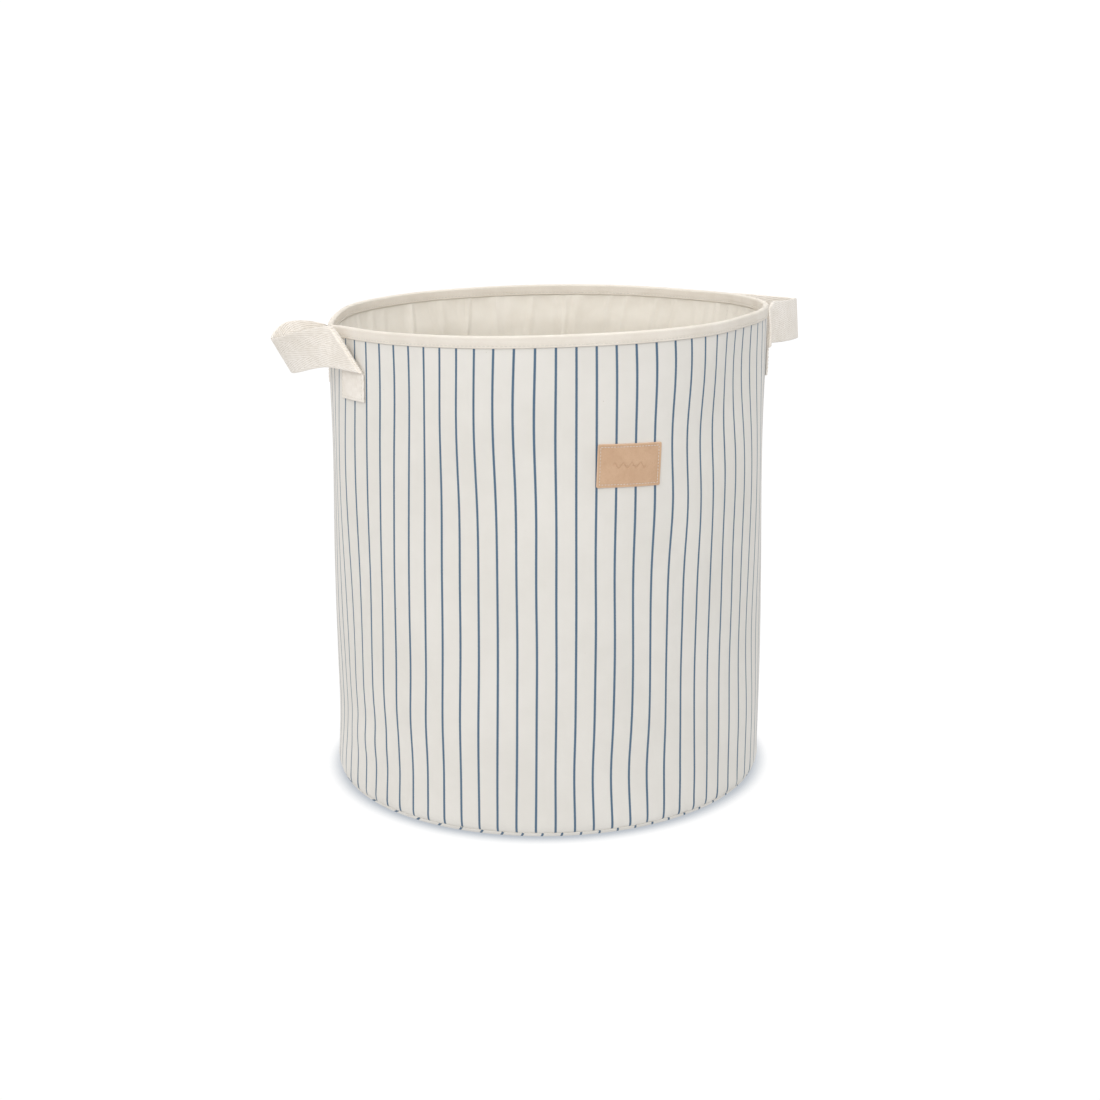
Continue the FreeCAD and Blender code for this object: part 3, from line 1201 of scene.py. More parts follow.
@dataclass(frozen=True)
class Needle:
    """How stitches look: their length, gap, thickness and slack."""

    stitch: float = 2.9 * MM
    gap: float = 0.75 * MM
    thick: float = 0.52 * MM
    rings: int = 7
    sides: int = 7

    def sew(self, lines: Sequence[StitchLine], name: str) -> Piece:
        """Sew every line and make the stitches one piece.

        Args:
            lines: the stitch lines.
            name: the piece's name.

        Returns:
            The thread.
        """
        blocks = [self._stitches(line) for line in lines]
        points, faces, marks, used = [], [], [], 0
        for block_points, block_faces, block_marks in blocks:
            points.append(block_points)
            faces += [face + used for face in block_faces]
            marks += block_marks
            used += len(block_points)
        material = Stock.THREAD.finish().material()
        piece = mesh_piece(name, np.concatenate(points), faces, marks, material)
        return piece

    def _stitches(self, line: StitchLine) -> tuple[Array, list[Array], list[Array]]:
        """The points, faces and cloth coordinates of one line's stitches.

        Args:
            line: the stitch line.

        Returns:
            The points, the faces and the cloth coordinates.
        """
        path, face = line.path, line.face
        if line.looped:
            path = np.concatenate([path, path[:1]])
            face = np.concatenate([face, face[:1]])
        run = run_of(path)
        count = max(1, round((run[-1] + (0 if line.looped else self.gap)) / (self.stitch + self.gap)))
        pitch = (run[-1] + (0 if line.looped else self.gap)) / count
        length = pitch - self.gap
        start = np.arange(count) * pitch + (self.gap / 2 if line.looped else 0)
        along = steps(0.0, 1.0, self.rings)
        at = start[:, None] + along[None, :] * length
        middle = np.stack([np.interp(at, run, path[:, k]) for k in range(3)], -1)
        up = unit(np.stack([np.interp(at, run, face[:, k]) for k in range(3)], -1))
        ahead = unit(np.gradient(middle, axis=1))
        aside = np.cross(ahead, up)
        half = self.thick / 2
        sink = (2 * along - 1) ** 4
        lift = half * (0.85 - 1.9 * sink)
        slim = 1 - 0.35 * sink
        turn = steps(0, 2 * math.pi, self.sides + 1)[:-1]
        ring = up[:, :, None] * np.sin(turn)[:, None] + aside[:, :, None] * np.cos(turn)[:, None]
        body = middle[:, :, None] + ring * (half * slim)[None, :, None, None]
        body = body + up[:, :, None] * lift[None, :, None, None]
        shape = (count, self.rings, self.sides)
        index = np.arange(np.prod(shape)).reshape(shape)
        after = np.roll(index, -1, axis=2)
        quads = np.stack([index[:, :-1], after[:, :-1], after[:, 1:], index[:, 1:]], -1).reshape(-1, 4)
        round_marks = steps(0, math.pi * self.thick, self.sides + 1)
        far = np.broadcast_to(at[:, :, None], (count, self.rings, self.sides + 1))
        near = np.broadcast_to(round_marks, far.shape)
        both = np.stack([near, far], -1)
        corners = (both[:, :-1, :-1], both[:, :-1, 1:], both[:, 1:, 1:], both[:, 1:, :-1])
        quad_marks = np.stack(corners, 3).reshape(-1, 4, 2)
        ends = np.concatenate([index[:, 0, ::-1], index[:, -1]])
        end_marks = np.zeros((len(ends), self.sides, 2))
        return body.reshape(-1, 3), [quads, ends], [quad_marks, end_marks]


# ---- The bin's own pieces ----


@dataclass
class Shell:
    """The striped canvas outside: its side panel, its base panel and their seams."""

    wall: WallShape
    canvas: float = 1.0 * MM
    seam_level: float = 4.0 * MM
    hem_round: float = 2.6 * MM
    top_gap: float = 3.4 * MM
    side_seam: float = math.pi
    base_turn: float = math.radians(-3.0)
    pucker: float = 0.35 * MM
    pucker_up: float = 5.0 * MM
    pucker_tall: float = 7.0 * MM
    seam_ridge: float = 0.5 * MM
    seam_groove: float = 1.1 * MM
    seam_thread_aside: float = 2.1 * MM
    hub: float = 4.0 * MM
    ruffle_deep: float = 0.25 * MM

    def _relief(self, angle: Array, level: Array, row: Array) -> Array:
        """Small puckers above the base seam and the pinch of the upright seam.

        Args:
            angle: radians from the front centre line.
            level: height above the floor.
            row: the number of the row in the cut section.

        Returns:
            Distances outwards.
        """
        low = bell((level - self.seam_level - self.pucker_up) / self.pucker_tall)
        wave = np.sin(97 * angle) + 0.6 * np.sin(61 * angle + 1.3)
        gap = around_gap(angle, self.side_seam) * self.wall.radius
        ridge = self.seam_ridge * bell(gap / (3.0 * MM)) - self.seam_groove * bell(gap / (0.5 * MM))
        return self.pucker * low * wave + ridge * ease((level - 6 * MM) / (6 * MM))

    def side(self) -> Piece:
        """The side panel, turned in at its lower edge where it meets the base panel.

        Returns:
            The piece.
        """
        radius, low = self.wall.radius, self.seam_level
        high = self.wall.height - self.top_gap
        turn = self.hem_round
        outside = np.concatenate([
            round_corner(radius - turn, low + turn, turn, -78, -8, 6),
            upright(radius, low + turn + MM, low + 14 * MM, 6),
            upright(radius, low + 18 * MM, high, 88),
        ])
        inside = outside[::-1] - np.array([self.canvas, 0.0])
        inside[:, 1] = np.clip(inside[:, 1], low + 0.6 * MM, high)
        angles = angles_round(320, self.side_seam)
        layer = Layer(self.wall, np.concatenate([outside, inside]), angles, self._relief)
        piece = Stock.CANVAS.dress(layer.tube(), "canvas_side")
        return on_bin(piece, "outer_side_panel")

    def base(self) -> Piece:
        """The round base panel, its edge turned up to the side panel.

        Returns:
            The piece.
        """
        radius, edge, thin = self.wall.radius, self.seam_level, self.canvas
        flat = radius - edge - 0.6 * MM
        flat_run = np.stack([steps(self.hub, flat, 40), np.zeros(40)], -1)
        turn_up = round_corner(flat, edge, edge, -86, 4, 9)
        turn_in = np.array([[radius - 2.2 * MM, edge + 0.9 * MM]])
        outside = np.concatenate([flat_run, turn_up, turn_in])
        turn_back = round_corner(flat, edge, edge - thin, -4, -86, 7)
        back_run = np.stack([steps(flat, self.hub, 26), np.full(26, thin)], -1)
        inside = np.concatenate([turn_back, back_run])
        profile = np.concatenate([outside, inside])

        def ruffle(angle: Array, level: Array, row: Array) -> Array:
            """The small waves of the gathered edge, from nothing in the flat middle."""
            return self.ruffle_deep * ease(level / edge) * np.sin(83 * angle + 0.7)

        layer = Layer(self.wall, profile, angles_round(360), ruffle)
        piece = Stock.CANVAS.dress(layer.disc(self.base_turn), "canvas_base")
        return on_bin(piece, "outer_base_panel")

    def seams(self) -> list[Piece]:
        """The thread in the base seam and beside the upright seam.

        Returns:
            The thread of the base seam and that of the upright seam.
        """
        angle = angles_round(1400)
        level = self.seam_level + 0.6 * MM
        radius = self.wall.radius - 0.9 * MM
        ring = StitchLine(
            self.wall.place(angle, level, radius), self.wall.outwards(angle, level, radius), looped=True
        )
        base = Needle(stitch=2.6 * MM, gap=0.9 * MM).sew([ring], "thread_base_seam")
        lines = []
        levels = steps(self.seam_level + 4 * MM, self.wall.height - 11 * MM, 200)
        for aside in (-1, 1):
            turn = np.full_like(levels, self.side_seam + aside * self.seam_thread_aside / self.wall.radius)
            proud = self.wall.radius + self._relief(turn, levels, levels)
            face = self.wall.outwards(turn, levels, self.wall.radius)
            lines.append(StitchLine(self.wall.place(turn, levels, proud), face))
        upright_seam = Needle().sew(lines, "thread_side_seam")
        return [on_bin(base, "base_seam_stitching"), on_bin(upright_seam, "side_seam_stitching")]


@dataclass
class Padding:
    """The wadding that holds the wall up and softens the base."""

    wall: WallShape
    outer: float
    inner: float
    canvas: float = 1.0 * MM
    base_thick: float = 6.0 * MM
    edge: float = 4.0 * MM
    top_gap: float = 4.6 * MM
    slack: float = 0.25 * MM
    base_slack: float = 0.1 * MM
    hub: float = 4.0 * MM

    def side(self) -> Piece:
        """The upright pad between canvas and lining.

        Returns:
            The piece.
        """
        low = self.canvas + self.base_thick + self.slack
        high = self.wall.height - self.top_gap
        middle = (self.outer + self.inner) / 2
        half = (self.outer - self.inner) / 2 - self.slack
        bottom = round_corner(middle, low + half, half, 180, 360, 9)
        top = round_corner(middle, high - half, half, 0, 180, 9)
        outside = upright(middle + half, low + half + MM, high - half - MM, 60)
        inside = upright(middle - half, high - half - MM, low + half + MM, 60)
        profile = np.concatenate([bottom, outside, top, inside])
        inwards = (middle + half - profile[:, 0]) / (2 * half)
        profile[:, 0] += self.wall.pinch(profile[:, 1]) * inwards
        layer = Layer(self.wall, profile, angles_round(240))
        piece = Stock.FILLING.dress(layer.tube(), "padding_side")
        return on_bin(piece, "wall_padding")

    def base(self) -> Piece:
        """The round pad on the base panel.

        Returns:
            The piece.
        """
        low = self.canvas + self.base_slack
        high = self.canvas + self.base_thick - self.base_slack
        half = (high - low) / 2
        reach = self.outer - 1.2 * MM - half
        profile = np.concatenate([
            np.stack([steps(self.hub, reach - MM, 30), np.full(30, low)], -1),
            round_corner(reach, low + half, half, -90, 90, 11),
            np.stack([steps(reach - MM, self.hub, 30), np.full(30, high)], -1),
        ])
        layer = Layer(self.wall, profile, angles_round(240))
        piece = Stock.FILLING.dress(layer.disc(0.0), "padding_base")
        return on_bin(piece, "base_padding")


@dataclass
class Lining:
    """The plain cotton inside: it is a little full, so it hangs in soft upright folds.

    Attributes:
        fold_wide: the least and the greatest half width of a fold, in millimetres.
        fold_share: the least and the greatest share of fold_depth that a fold has.
        fold_slant: how far a fold can lean to either side.
        fold_reach: the least and the greatest length of a fold, down from the rim.
        under_tape: how much of a fold the tape presses flat.
    """

    wall: WallShape
    outer: float
    cloth: float = 0.8 * MM
    floor: float = 7.8 * MM
    top_gap: float = 3.4 * MM
    seam: float = math.radians(101.0)
    folds: int = 64
    fold_depth: float = 3.2 * MM
    fold_wide: tuple[float, float] = (1.8, 5.0)
    fold_share: tuple[float, float] = (0.25, 1.0)
    fold_slant: float = 0.25
    fold_reach: tuple[float, float] = (0.10, 0.42)
    fold_wander: float = 0.42
    fold_bow: float = 0.012
    under_tape: float = 0.96
    hub: float = 4.0 * MM
    rumple_high: float = 0.7 * MM
    seed: int = 7

    def _folds(self, angle: Array, level: Array, row: Array) -> Array:
        """How far the folds stand out from the wadding, towards the axis as a negative value.

        Args:
            angle: radians from the front centre line.
            level: height above the floor.
            row: the number of the row in the cut section.

        Returns:
            Distances outwards.
        """
        chance = np.random.default_rng(self.seed)
        total = np.zeros(np.broadcast(angle, level).shape)
        step = 2 * math.pi / self.folds
        for number in range(self.folds):
            centre = -math.pi + step * (number + chance.uniform(-self.fold_wander, self.fold_wander))
            width = chance.uniform(*self.fold_wide) * MM / self.outer
            depth = chance.uniform(*self.fold_share) * self.fold_depth
            slant = chance.uniform(-self.fold_slant, self.fold_slant)
            reach = chance.uniform(*self.fold_reach)
            top = self.wall.height - 10 * MM
            down = (top - level) / reach
            fade = np.where(down < 0, 1.0, bell(np.maximum(down, 0)))
            drift = slant * (top - level) / self.outer
            bow = self.fold_bow * np.sin((top - level) * 22.0 + number)
            total = total - depth * fade * bell(around_gap(angle, centre + drift + bow) / width)
        gap = around_gap(angle, self.seam) * self.outer
        seam = -0.9 * MM * bell(gap / (2.4 * MM)) + 0.9 * MM * bell(gap / (0.5 * MM))
        held = 1 - self.under_tape * ease((level - (self.wall.height - 16 * MM)) / (6 * MM))
        low = ease((level - self.floor) / (12 * MM))
        return (total * low + seam) * held

    def side(self) -> Piece:
        """The upright lining with its folds and its seam.

        Returns:
            The piece.
        """
        high = self.wall.height - self.top_gap
        outside = upright(self.outer, self.floor + 0.4 * MM, high, 74)
        inside = upright(self.outer - self.cloth, high, self.floor + 0.4 * MM, 74)
        profile = np.concatenate([outside, inside])
        profile[:, 0] += self.wall.pinch(profile[:, 1])
        layer = Layer(self.wall, profile, angles_round(560, self.seam), self._folds)
        piece = Stock.LINING.dress(layer.tube(), "lining_wall")
        return on_bin(piece, "lining_side")

    def base(self) -> Piece:
        """The round lining on the floor of the bin, slightly rumpled.

        Returns:
            The piece.
        """
        reach = self.outer - 0.7 * MM
        low, high = self.floor - self.cloth, self.floor
        profile = np.concatenate([
            np.stack([steps(self.hub, reach, 44), np.full(44, low)], -1),
            np.stack([steps(reach, self.hub, 44), np.full(44, high)], -1),
        ])
        layer = Layer(self.wall, profile, angles_round(300))
        surface = layer.disc(0.0)
        x, y = surface.places[..., 0], surface.places[..., 1]
        fade = 1 - ease((np.hypot(x, y) - (reach - 12 * MM)) / (12 * MM))
        rumple = np.sin(31 * x + 17 * y + 0.6) * np.sin(26 * y - 9 * x) + 0.5 * np.sin(58 * x - 41 * y)
        surface.places[..., 2] += self.rumple_high * (1 + 0.6 * rumple) * fade
        piece = Stock.LINING.dress(surface, "lining_floor")
        return on_bin(piece, "lining_base")

    def seam_thread(self) -> Piece:
        """The stitches beside the lining's upright seam.

        Returns:
            The piece.
        """
        lines = []
        levels = steps(self.floor + 5 * MM, self.wall.height - 12 * MM, 200)
        turn = np.full_like(levels, self.seam + 2.0 * MM / self.outer)
        face_radius = self.outer - self.cloth + self.wall.pinch(levels) + self._folds(turn, levels, levels)
        inwards = -self.wall.outwards(turn, levels, self.outer)
        lines.append(StitchLine(self.wall.place(turn, levels, face_radius), inwards))
        piece = Needle().sew(lines, "thread_lining_seam")
        return on_bin(piece, "lining_seam_stitching")


@dataclass
class Binding:
    """The cotton tape folded over the wall's raw edge, and the thread that holds it."""

    wall: WallShape
    inner: float
    tape: float = 1.0 * MM
    depth: float = 10.0 * MM
    crown: float = 2.0 * MM
    stitch_up: float = 2.0 * MM
    thread_sunk: float = 0.3 * MM
    needle: Needle = Needle()

    @property
    def outer_face(self) -> float:
        """The radius of the tape's outside face."""
        return self.wall.radius + self.tape

    @property
    def inner_face(self) -> float:
        """The radius of the tape's inside face."""
        return self.inner - self.tape + self.wall.rim_pinch

    def _stitches_round(self) -> int:
        """How many stitches go once round the rim."""
        return round(2 * math.pi * self.outer_face / (self.needle.stitch + self.needle.gap))

    def _relief(self, angle: Array, level: Array, row: Array) -> Array:
        """The tape sinks at its stitch line, more so at each needle hole.

        Args:
            angle: radians from the front centre line.
            level: height above the floor.
            row: the number of the row in the cut section.

        Returns:
            Distances outwards.
        """
        line = self.wall.height - self.depth + self.stitch_up
        hole = 0.5 + 0.5 * np.cos(self._stitches_round() * angle)
        sunk = bell((level - line) / (1.1 * MM)) * (0.22 + 0.28 * hole)
        plump = 0.25 * np.sin(37 * angle + 0.8) * np.sin(23 * angle) * ease((level - line) / (3 * MM))
        outside = row < self._outside_rows()
        return MM * np.where(outside, plump - sunk, sunk - plump)

    def _outside_rows(self) -> int:
        """How many rows of the section lie on the outside half of the tape."""
        return len(self._outer_line()) // 2

    def _outer_line(self) -> Array:
        """The visible line of the tape's section, from its outside edge over the top to its inside edge.

        Returns:
            (radius, level) pairs.
        """
        low, high = self.wall.height - self.depth, self.wall.height - self.crown
        middle, half = (self.outer_face + self.inner_face) / 2, (self.outer_face - self.inner_face) / 2
        turn = np.radians(steps(0, 180, 19))
        over = np.stack([middle + half * np.cos(turn), high + self.crown * np.sin(turn)], -1)
        up = upright(self.outer_face, low, high - 0.5 * MM, 9)
        down = upright(self.inner_face, high - 0.5 * MM, low, 9)
        return np.concatenate([up, over, down])

    def tape_piece(self) -> Piece:
        """The folded tape.

        Returns:
            The piece.
        """
        line = self._outer_line()
        middle = (self.outer_face + self.inner_face) / 2
        ahead = unit(np.gradient(line, axis=0))
        inwards = np.stack([-ahead[:, 1], ahead[:, 0]], -1)
        under = (line + inwards * self.tape * 0.9)[::-1]
        under[:, 0] = np.where(line[::-1, 0] > middle, np.maximum(under[:, 0], middle), under[:, 0])
        profile = np.concatenate([line, under[::2]])
        columns = 3 * self._stitches_round()

        def relief(angle: Array, level: Array, row: Array) -> Array:
            """The stitched relief on the tape's visible rows, and none on its hidden ones."""
            return np.where(row < len(line), self._relief(angle, level, row), 0.0)

        layer = Layer(self.wall, profile, angles_round(columns), relief)
        piece = Stock.TAPE.dress(layer.tube(), "binding_tape_rim")
        return on_bin(piece, "rim_binding")

    def thread(self) -> Piece:
        """The stitch line round the outside of the tape and the one round its inside.

        Returns:
            The piece.
        """
        level = self.wall.height - self.depth + self.stitch_up
        angle = angles_round(1500)
        lines = []
        outside, inside = self.outer_face - self.thread_sunk, self.inner_face + self.thread_sunk
        for radius, facing in ((outside, 1.0), (inside, -1.0)):
            face = facing * self.wall.outwards(angle, level, radius)
            lines.append(StitchLine(self.wall.place(angle, level, radius), face, looped=True))
        piece = self.needle.sew(lines, "thread_rim")
        return on_bin(piece, "rim_stitching")


@dataclass
class Label:
    """The small leather label, pressed with a plain wave and sewn on all round."""

    wall: WallShape
    width: float = 56.0 * MM
    tall: float = 36.0 * MM
    thick: float = 1.4 * MM
    corner: float = 1.5 * MM
    centre: float = 323.5 * MM
    aside: float = 12.0 * MM
    tilt: float = -2.2
    inset: float = 2.5 * MM
    curl: float = 0.7 * MM
    far_curl: float = 0.3 * MM
    pressed: float = 0.28 * MM
    sewn_in: float = 0.22 * MM
    grain: float = 0.05 * MM
    finish: TanLeather = TanLeather()

    def _outline(self, inset: float, count: int) -> Array:
        """Points round the label, a given way in from its edge.

        Args:
            inset: how far in from the edge.
            count: how many points.

        Returns:
            The points, flat.
        """
        half_w, half_h = self.width / 2 - inset, self.tall / 2 - inset
        corner = max(self.corner - inset, 0.15 * MM)
        points = []
        for quarter, (x, y) in enumerate(((1, 1), (-1, 1), (-1, -1), (1, -1))):
            turn = np.radians(90 * quarter + steps(0, 90, 6))
            points.append(np.stack([
                x * (half_w - corner) + corner * np.cos(turn), y * (half_h - corner) + corner * np.sin(turn)
            ], -1))
        ring = np.concatenate(points)
        ring = np.concatenate([ring, ring[:1]])
        run = run_of(ring)
        at = steps(0, run[-1], count + 1)[:-1]
        return np.stack([np.interp(at, run, ring[:, k]) for k in range(2)], -1)

    def _on_wall(self, flat: Array, proud: Array) -> Places:
        """Where a point of the label stands, from its flat place and its height off the cloth.

        Args:
            flat: places on the flat label.
            proud: height off the cloth.

        Returns:
            The points.
        """
        tilt = math.radians(self.tilt)
        x = flat[..., 0] * math.cos(tilt) - flat[..., 1] * math.sin(tilt)
        y = flat[..., 0] * math.sin(tilt) + flat[..., 1] * math.cos(tilt)
        radius = self.wall.radius
        lifted = self.curl * ease((-flat[..., 0] - self.width / 2 + 6 * MM) / (6 * MM))
        lifted = lifted + self.far_curl * ease((flat[..., 0] - self.width / 2 + 4 * MM) / (4 * MM))
        return self.wall.place((self.aside + x) / radius, self.centre + y, radius + proud + lifted)

    def _face(self, flat: Array) -> Array:
        """The height of the leather's face: grain swells, the pressed wave and the sunk stitch line.

        Args:
            flat: places on the flat label.

        Returns:
            Heights off the cloth.
        """
        x, y = flat[..., 0], flat[..., 1]
        mark = self.finish
        curve = mark.mark_swing * np.sin(2 * math.pi * x / mark.mark_wave)
        stroke = ease((1.8 * mark.mark_stroke - np.abs(y - curve)) / mark.mark_stroke)
        stroke = stroke * ease((mark.mark_half_length - np.abs(x)) / MM)
        edge = np.minimum(self.width / 2 - np.abs(x), self.tall / 2 - np.abs(y))
        sewn = bell((edge - self.inset) / (0.55 * MM))
        swell = self.grain * np.sin(210 * x + 3 * np.sin(130 * y)) * np.sin(190 * y + 1.0)
        return self.thick - self.pressed * stroke - self.sewn_in * sewn + swell

    def leather(self) -> Piece:
        """The leather patch, as rings from its edge to its middle.

        Returns:
            The piece.
        """
        count = 300
        rings = [(self._outline(0.35 * MM, count), 0.0), (self._outline(0.05 * MM, count), 0.25 * MM)]
        rings.append((self._outline(0.0, count), 0.7 * self.thick))
        edge_rings = [self._outline(inset, count) for inset in (0.12 * MM, 0.35 * MM)]
        rim = self._outline(0.35 * MM, count)
        shrink = 1 - steps(0.0, 1.0, 62)[1:-1]
        face_rings = self._face_rings(rim, shrink)
        nets = [self._on_wall(flat, np.full(len(flat), proud)) for flat, proud in rings]
        flats = [flat for flat, _ in rings]
        drops = [0.16 * MM, 0.03 * MM] + [0.0] * len(face_rings)
        for flat, drop in zip(edge_rings + face_rings, drops):
            nets.append(self._on_wall(flat, self._face(flat) - drop))
            flats.append(flat)
        places = np.stack(nets)
        marks = np.stack(flats)
        marks = np.concatenate([marks, marks[:, :1]], axis=1)
        piece = Stock.LEATHER.dress(Surface(places, marks, close_ends=True), "label_patch")
        return on_bin(piece, "leather_label")

    def _face_rings(self, rim: Array, shrink: Array) -> list[Array]:
        """Rings that shrink from the rim to a short line in the middle, all evenly dense.

        Args:
            rim: the outermost ring.
            shrink: each ring's size, from just under 1 to 0.

        Returns:
            The rings, flat.
        """
        keel = self.width / 2 - self.tall / 2
        rings = []
        for share in shrink:
            long_way = keel + (self.width / 2 - keel) * share
            rings.append(np.stack([rim[:, 0] * long_way / (self.width / 2), rim[:, 1] * share], -1))
        return rings

    def thread(self) -> Piece:
        """The stitches round the label.

        Returns:
            The piece.
        """
        flat = self._outline(self.inset, 900)
        lifted = self._face(flat) + 0.1 * MM
        path = self._on_wall(flat, lifted)
        face = unit(self._on_wall(flat, lifted + MM) - path)
        needle = Needle(stitch=1.9 * MM, gap=0.8 * MM, thick=0.45 * MM)
        piece = needle.sew([StitchLine(path, face, looped=True)], "thread_label")
        return on_bin(piece, "label_stitching")


class Side(Enum):
    """Which side of the bin a handle is on."""

    LEFT = -1
    RIGHT = 1

    @property
    def word(self) -> str:
        """The side's name as the handle's pieces use it."""
        return self.name.lower()


@dataclass
class Handle:
    """One length of webbing: two sewn ends, two slanting folds and the loop between them.

    Attributes:
        side: left or right.
        reach: how far the loop's middle stands out from the wall.
        droop: how far the loop's middle hangs down.
        lean: degrees that the top edge leans outwards along the loop.
        crease: from 0, a round bow, to 1, two straight runs that meet at a crease.
        rise: the angle round the wall, from the loop's middle, over which its front half stands off.
        rear_rise: the same for its rear half.
        loose: how much of the reach is spread over the whole of the strap's front half.
        below_rim: how far the strap's top edge starts below the top of the rim.
        lean_by: the share of the reach by which the whole lean is taken up.
        droop_power: above 1 the loop hangs only near its middle, below 1 from its foot on.
        blend_from: not used; the distance from the axis up to which the webbing would stay with the bin.
        blend_to: not used; the distance from which the webbing would swing with the loop.
        crease_round: how soft the end of a straight run is.
        point_round: how soft the crease in the loop's middle is.
        far_face: how far off the inner face's cloth coordinates lie.
        arch: how far the loop rises between its foot and its middle.
        rear_dip: how much lower the rear half leaves the wall, which it makes up for further out.
    """

    wall: WallShape
    side: Side
    reach: float
    droop: float
    lean: float
    crease: float
    rise: float
    rear_rise: float
    loose: float
    below_rim: float
    width: float = 38.0 * MM
    thick: float = 2.2 * MM
    span: float = 128.0 * MM
    sewn: float = 25.0 * MM
    fold_round: float = 1.2 * MM
    stitch_inset: float = 2.5 * MM
    crease_round: float = 0.0012
    point_round: float = 0.004
    far_face: float = 60.0 * MM
    edge_columns: int = 25
    rows_each_half: int = 150
    lean_by: float = 0.6
    droop_power: float = 1.0
    arch: float = 0.0
    rear_dip: float = 0.0
    blend_from: float = 204.0 * MM
    blend_to: float = 232.0 * MM

    @property
    def strap_bottom(self) -> float:
        """The level of the strap's lower edge where it leaves the wall."""
        return self.wall.height - self.below_rim - self.width

    @property
    def sewn_turn(self) -> float:
        """The angle from the handle's middle to the middle of a sewn end."""
        return math.asin(self.span / 2 / self.wall.radius)

    @property
    def middle_turn(self) -> float:
        """The angle of the handle's middle, from the front centre line."""
        return self.side.value * math.pi / 2

    def _bow(self, half: int, turn: Array) -> Array:
        """How far out one half of the loop is at an angle from its middle, from 0 to 1.

        Args:
            half: 1 for the half that is sewn further round, -1 for its mirror image.
            turn: angles from the loop's middle.

        Returns:
            Shares of the reach.
        """
        foot = self.sewn_turn + self.width / 2 / self.wall.radius
        spread = 1 - np.clip(np.abs(turn) / foot, 0.0, 1.0) ** 1.5
        front = half * self.side.value < 0
        rise = self.rise if front else self.rear_rise
        share = np.clip(np.abs(turn) / math.radians(rise), 0.0, 1.0)
        soft = (1 - share**2.2) ** 1.1
        small = self.crease_round
        straight = np.sqrt((1 - share) ** 2 + small) - math.sqrt(small) * share
        straight = np.where(share < 1, straight, 0.0)
        rounded = 1 - np.sqrt(share**2 + self.point_round) + math.sqrt(self.point_round)
        pointed = np.clip(np.minimum(straight, rounded), 0.0, 1.0)
        bent = (1 - self.crease) * soft + self.crease * pointed
        loose = self.loose if front else 0.0
        return loose * spread + (1 - loose) * bent

    def _plan(self, half: int) -> tuple[Array, Array]:
        """One half's angles from foot to middle, and the length along its plan curve at each.

        Args:
            half: 1 for the half that is sewn further round, -1 for its mirror image.

        Returns:
            The angles, and the length at each.
        """
        foot = self.sewn_turn + self.width / 2 / self.wall.radius
        turn = steps(foot, 0.0, 500)
        radius = self.wall.radius + self.thick + self.reach * self._bow(half, turn)
        line = np.stack([radius * np.cos(turn), radius * np.sin(turn)], -1)
        return turn, run_of(line)

    def _tab(self, half: int, aside: Array, level: Array, proud: Array) -> Places:
        """A place on the wall beside a sewn end's middle; aside grows away from the handle's middle."""
        turn = self.middle_turn + half * (self.sewn_turn + aside / self.wall.radius)
        return self.wall.place(turn, level, self.wall.radius + proud)

    def _loop(self, half: int, along: Array, level: Array, proud: Array) -> Places:
        """A place on the loop, from the length along it and the level its yarn had at the foot.

        Args:
            half: 1 for the half that is sewn further round, -1 for its mirror image.
            along: length along the loop from its foot.
            level: height above the floor.
            proud: height off the cloth.

        Returns:
            The points.
        """
        turns, runs = self._plan(half)
        turn = np.interp(along, runs, turns)
        bow = self._bow(half, turn)
        up = level - (self.strap_bottom + self.width / 2)
        lean = math.radians(self.lean) * ease(bow / self.lean_by)
        out = self.reach * bow + up * np.sin(lean) + proud * np.cos(lean)
        near = np.clip(bow, 0.0, 1.0)
        hang = self.droop * near**self.droop_power - self.arch * 4 * near * (1 - near)
        if half * self.side.value > 0:
            hang = hang + self.rear_dip * ((1 - near) ** 2 - 5 * near**2 * (1 - near))
        high = self.strap_bottom + self.width / 2 - hang + up * np.cos(lean) - proud * np.sin(lean)
        angle = self.middle_turn + half * turn
        base = self.wall.place(angle, np.clip(high, 0, self.wall.height), self.wall.radius)
        away = np.stack([np.sin(angle), -np.cos(angle), np.zeros_like(angle)], -1)
        base[..., 2] += high - np.clip(high, 0, self.wall.height)
        return base + away * out[..., None]

    def _sheet_point(self, half: int, run: Array, across: Array, proud: Array) -> Places:
        """Where a point of the webbing's middle surface stands.

        Args:
            half: 1 for the half that is sewn further round, -1 for its mirror image.
            run: length from the cut end.
            across: distance from the webbing's middle line, towards the edge away from the loop.
            proud: distance off the surface.

        Returns:
            The points.
        """
        edge, bottom = self.width / 2, self.strap_bottom
        level = bottom - self.sewn + run
        past = ((across - edge) + (level - bottom)) / math.sqrt(2)
        turn = np.clip(past / self.fold_round, -math.pi / 2, math.pi / 2)
        curved = self.fold_round * np.cos(turn) - math.pi / 2 * self.fold_round
        flat = -np.abs(past)
        inside = np.abs(past) < math.pi / 2 * self.fold_round
        bow_out = np.where(inside, curved, flat)
        aside = across + (bow_out - past) / math.sqrt(2)
        high = level + (bow_out - past) / math.sqrt(2)
        lift = self.thick / 2 + self.fold_round * (1 + np.sin(turn))
        proud_now = lift - proud * np.sin(turn)
        share = ease((turn / math.pi) + 0.5)
        aside_flat = aside + proud * np.cos(turn) / math.sqrt(2)
        high_flat = high + proud * np.cos(turn) / math.sqrt(2)
        on_tab = self._tab(half, aside_flat, high_flat, proud_now)
        fold_level = bottom + edge - across
        fold_along = edge - across
        raised = self._loop(half, fold_along, fold_level, np.zeros_like(across))
        lying = self._tab(half, across, fold_level, np.zeros_like(across))
        climb = np.clip((high_flat - bottom) / np.maximum(fold_level - bottom, 1e-6), 0.0, 1.0) ** 1.5
        climb = np.where(high_flat > bottom, climb, 0.0)
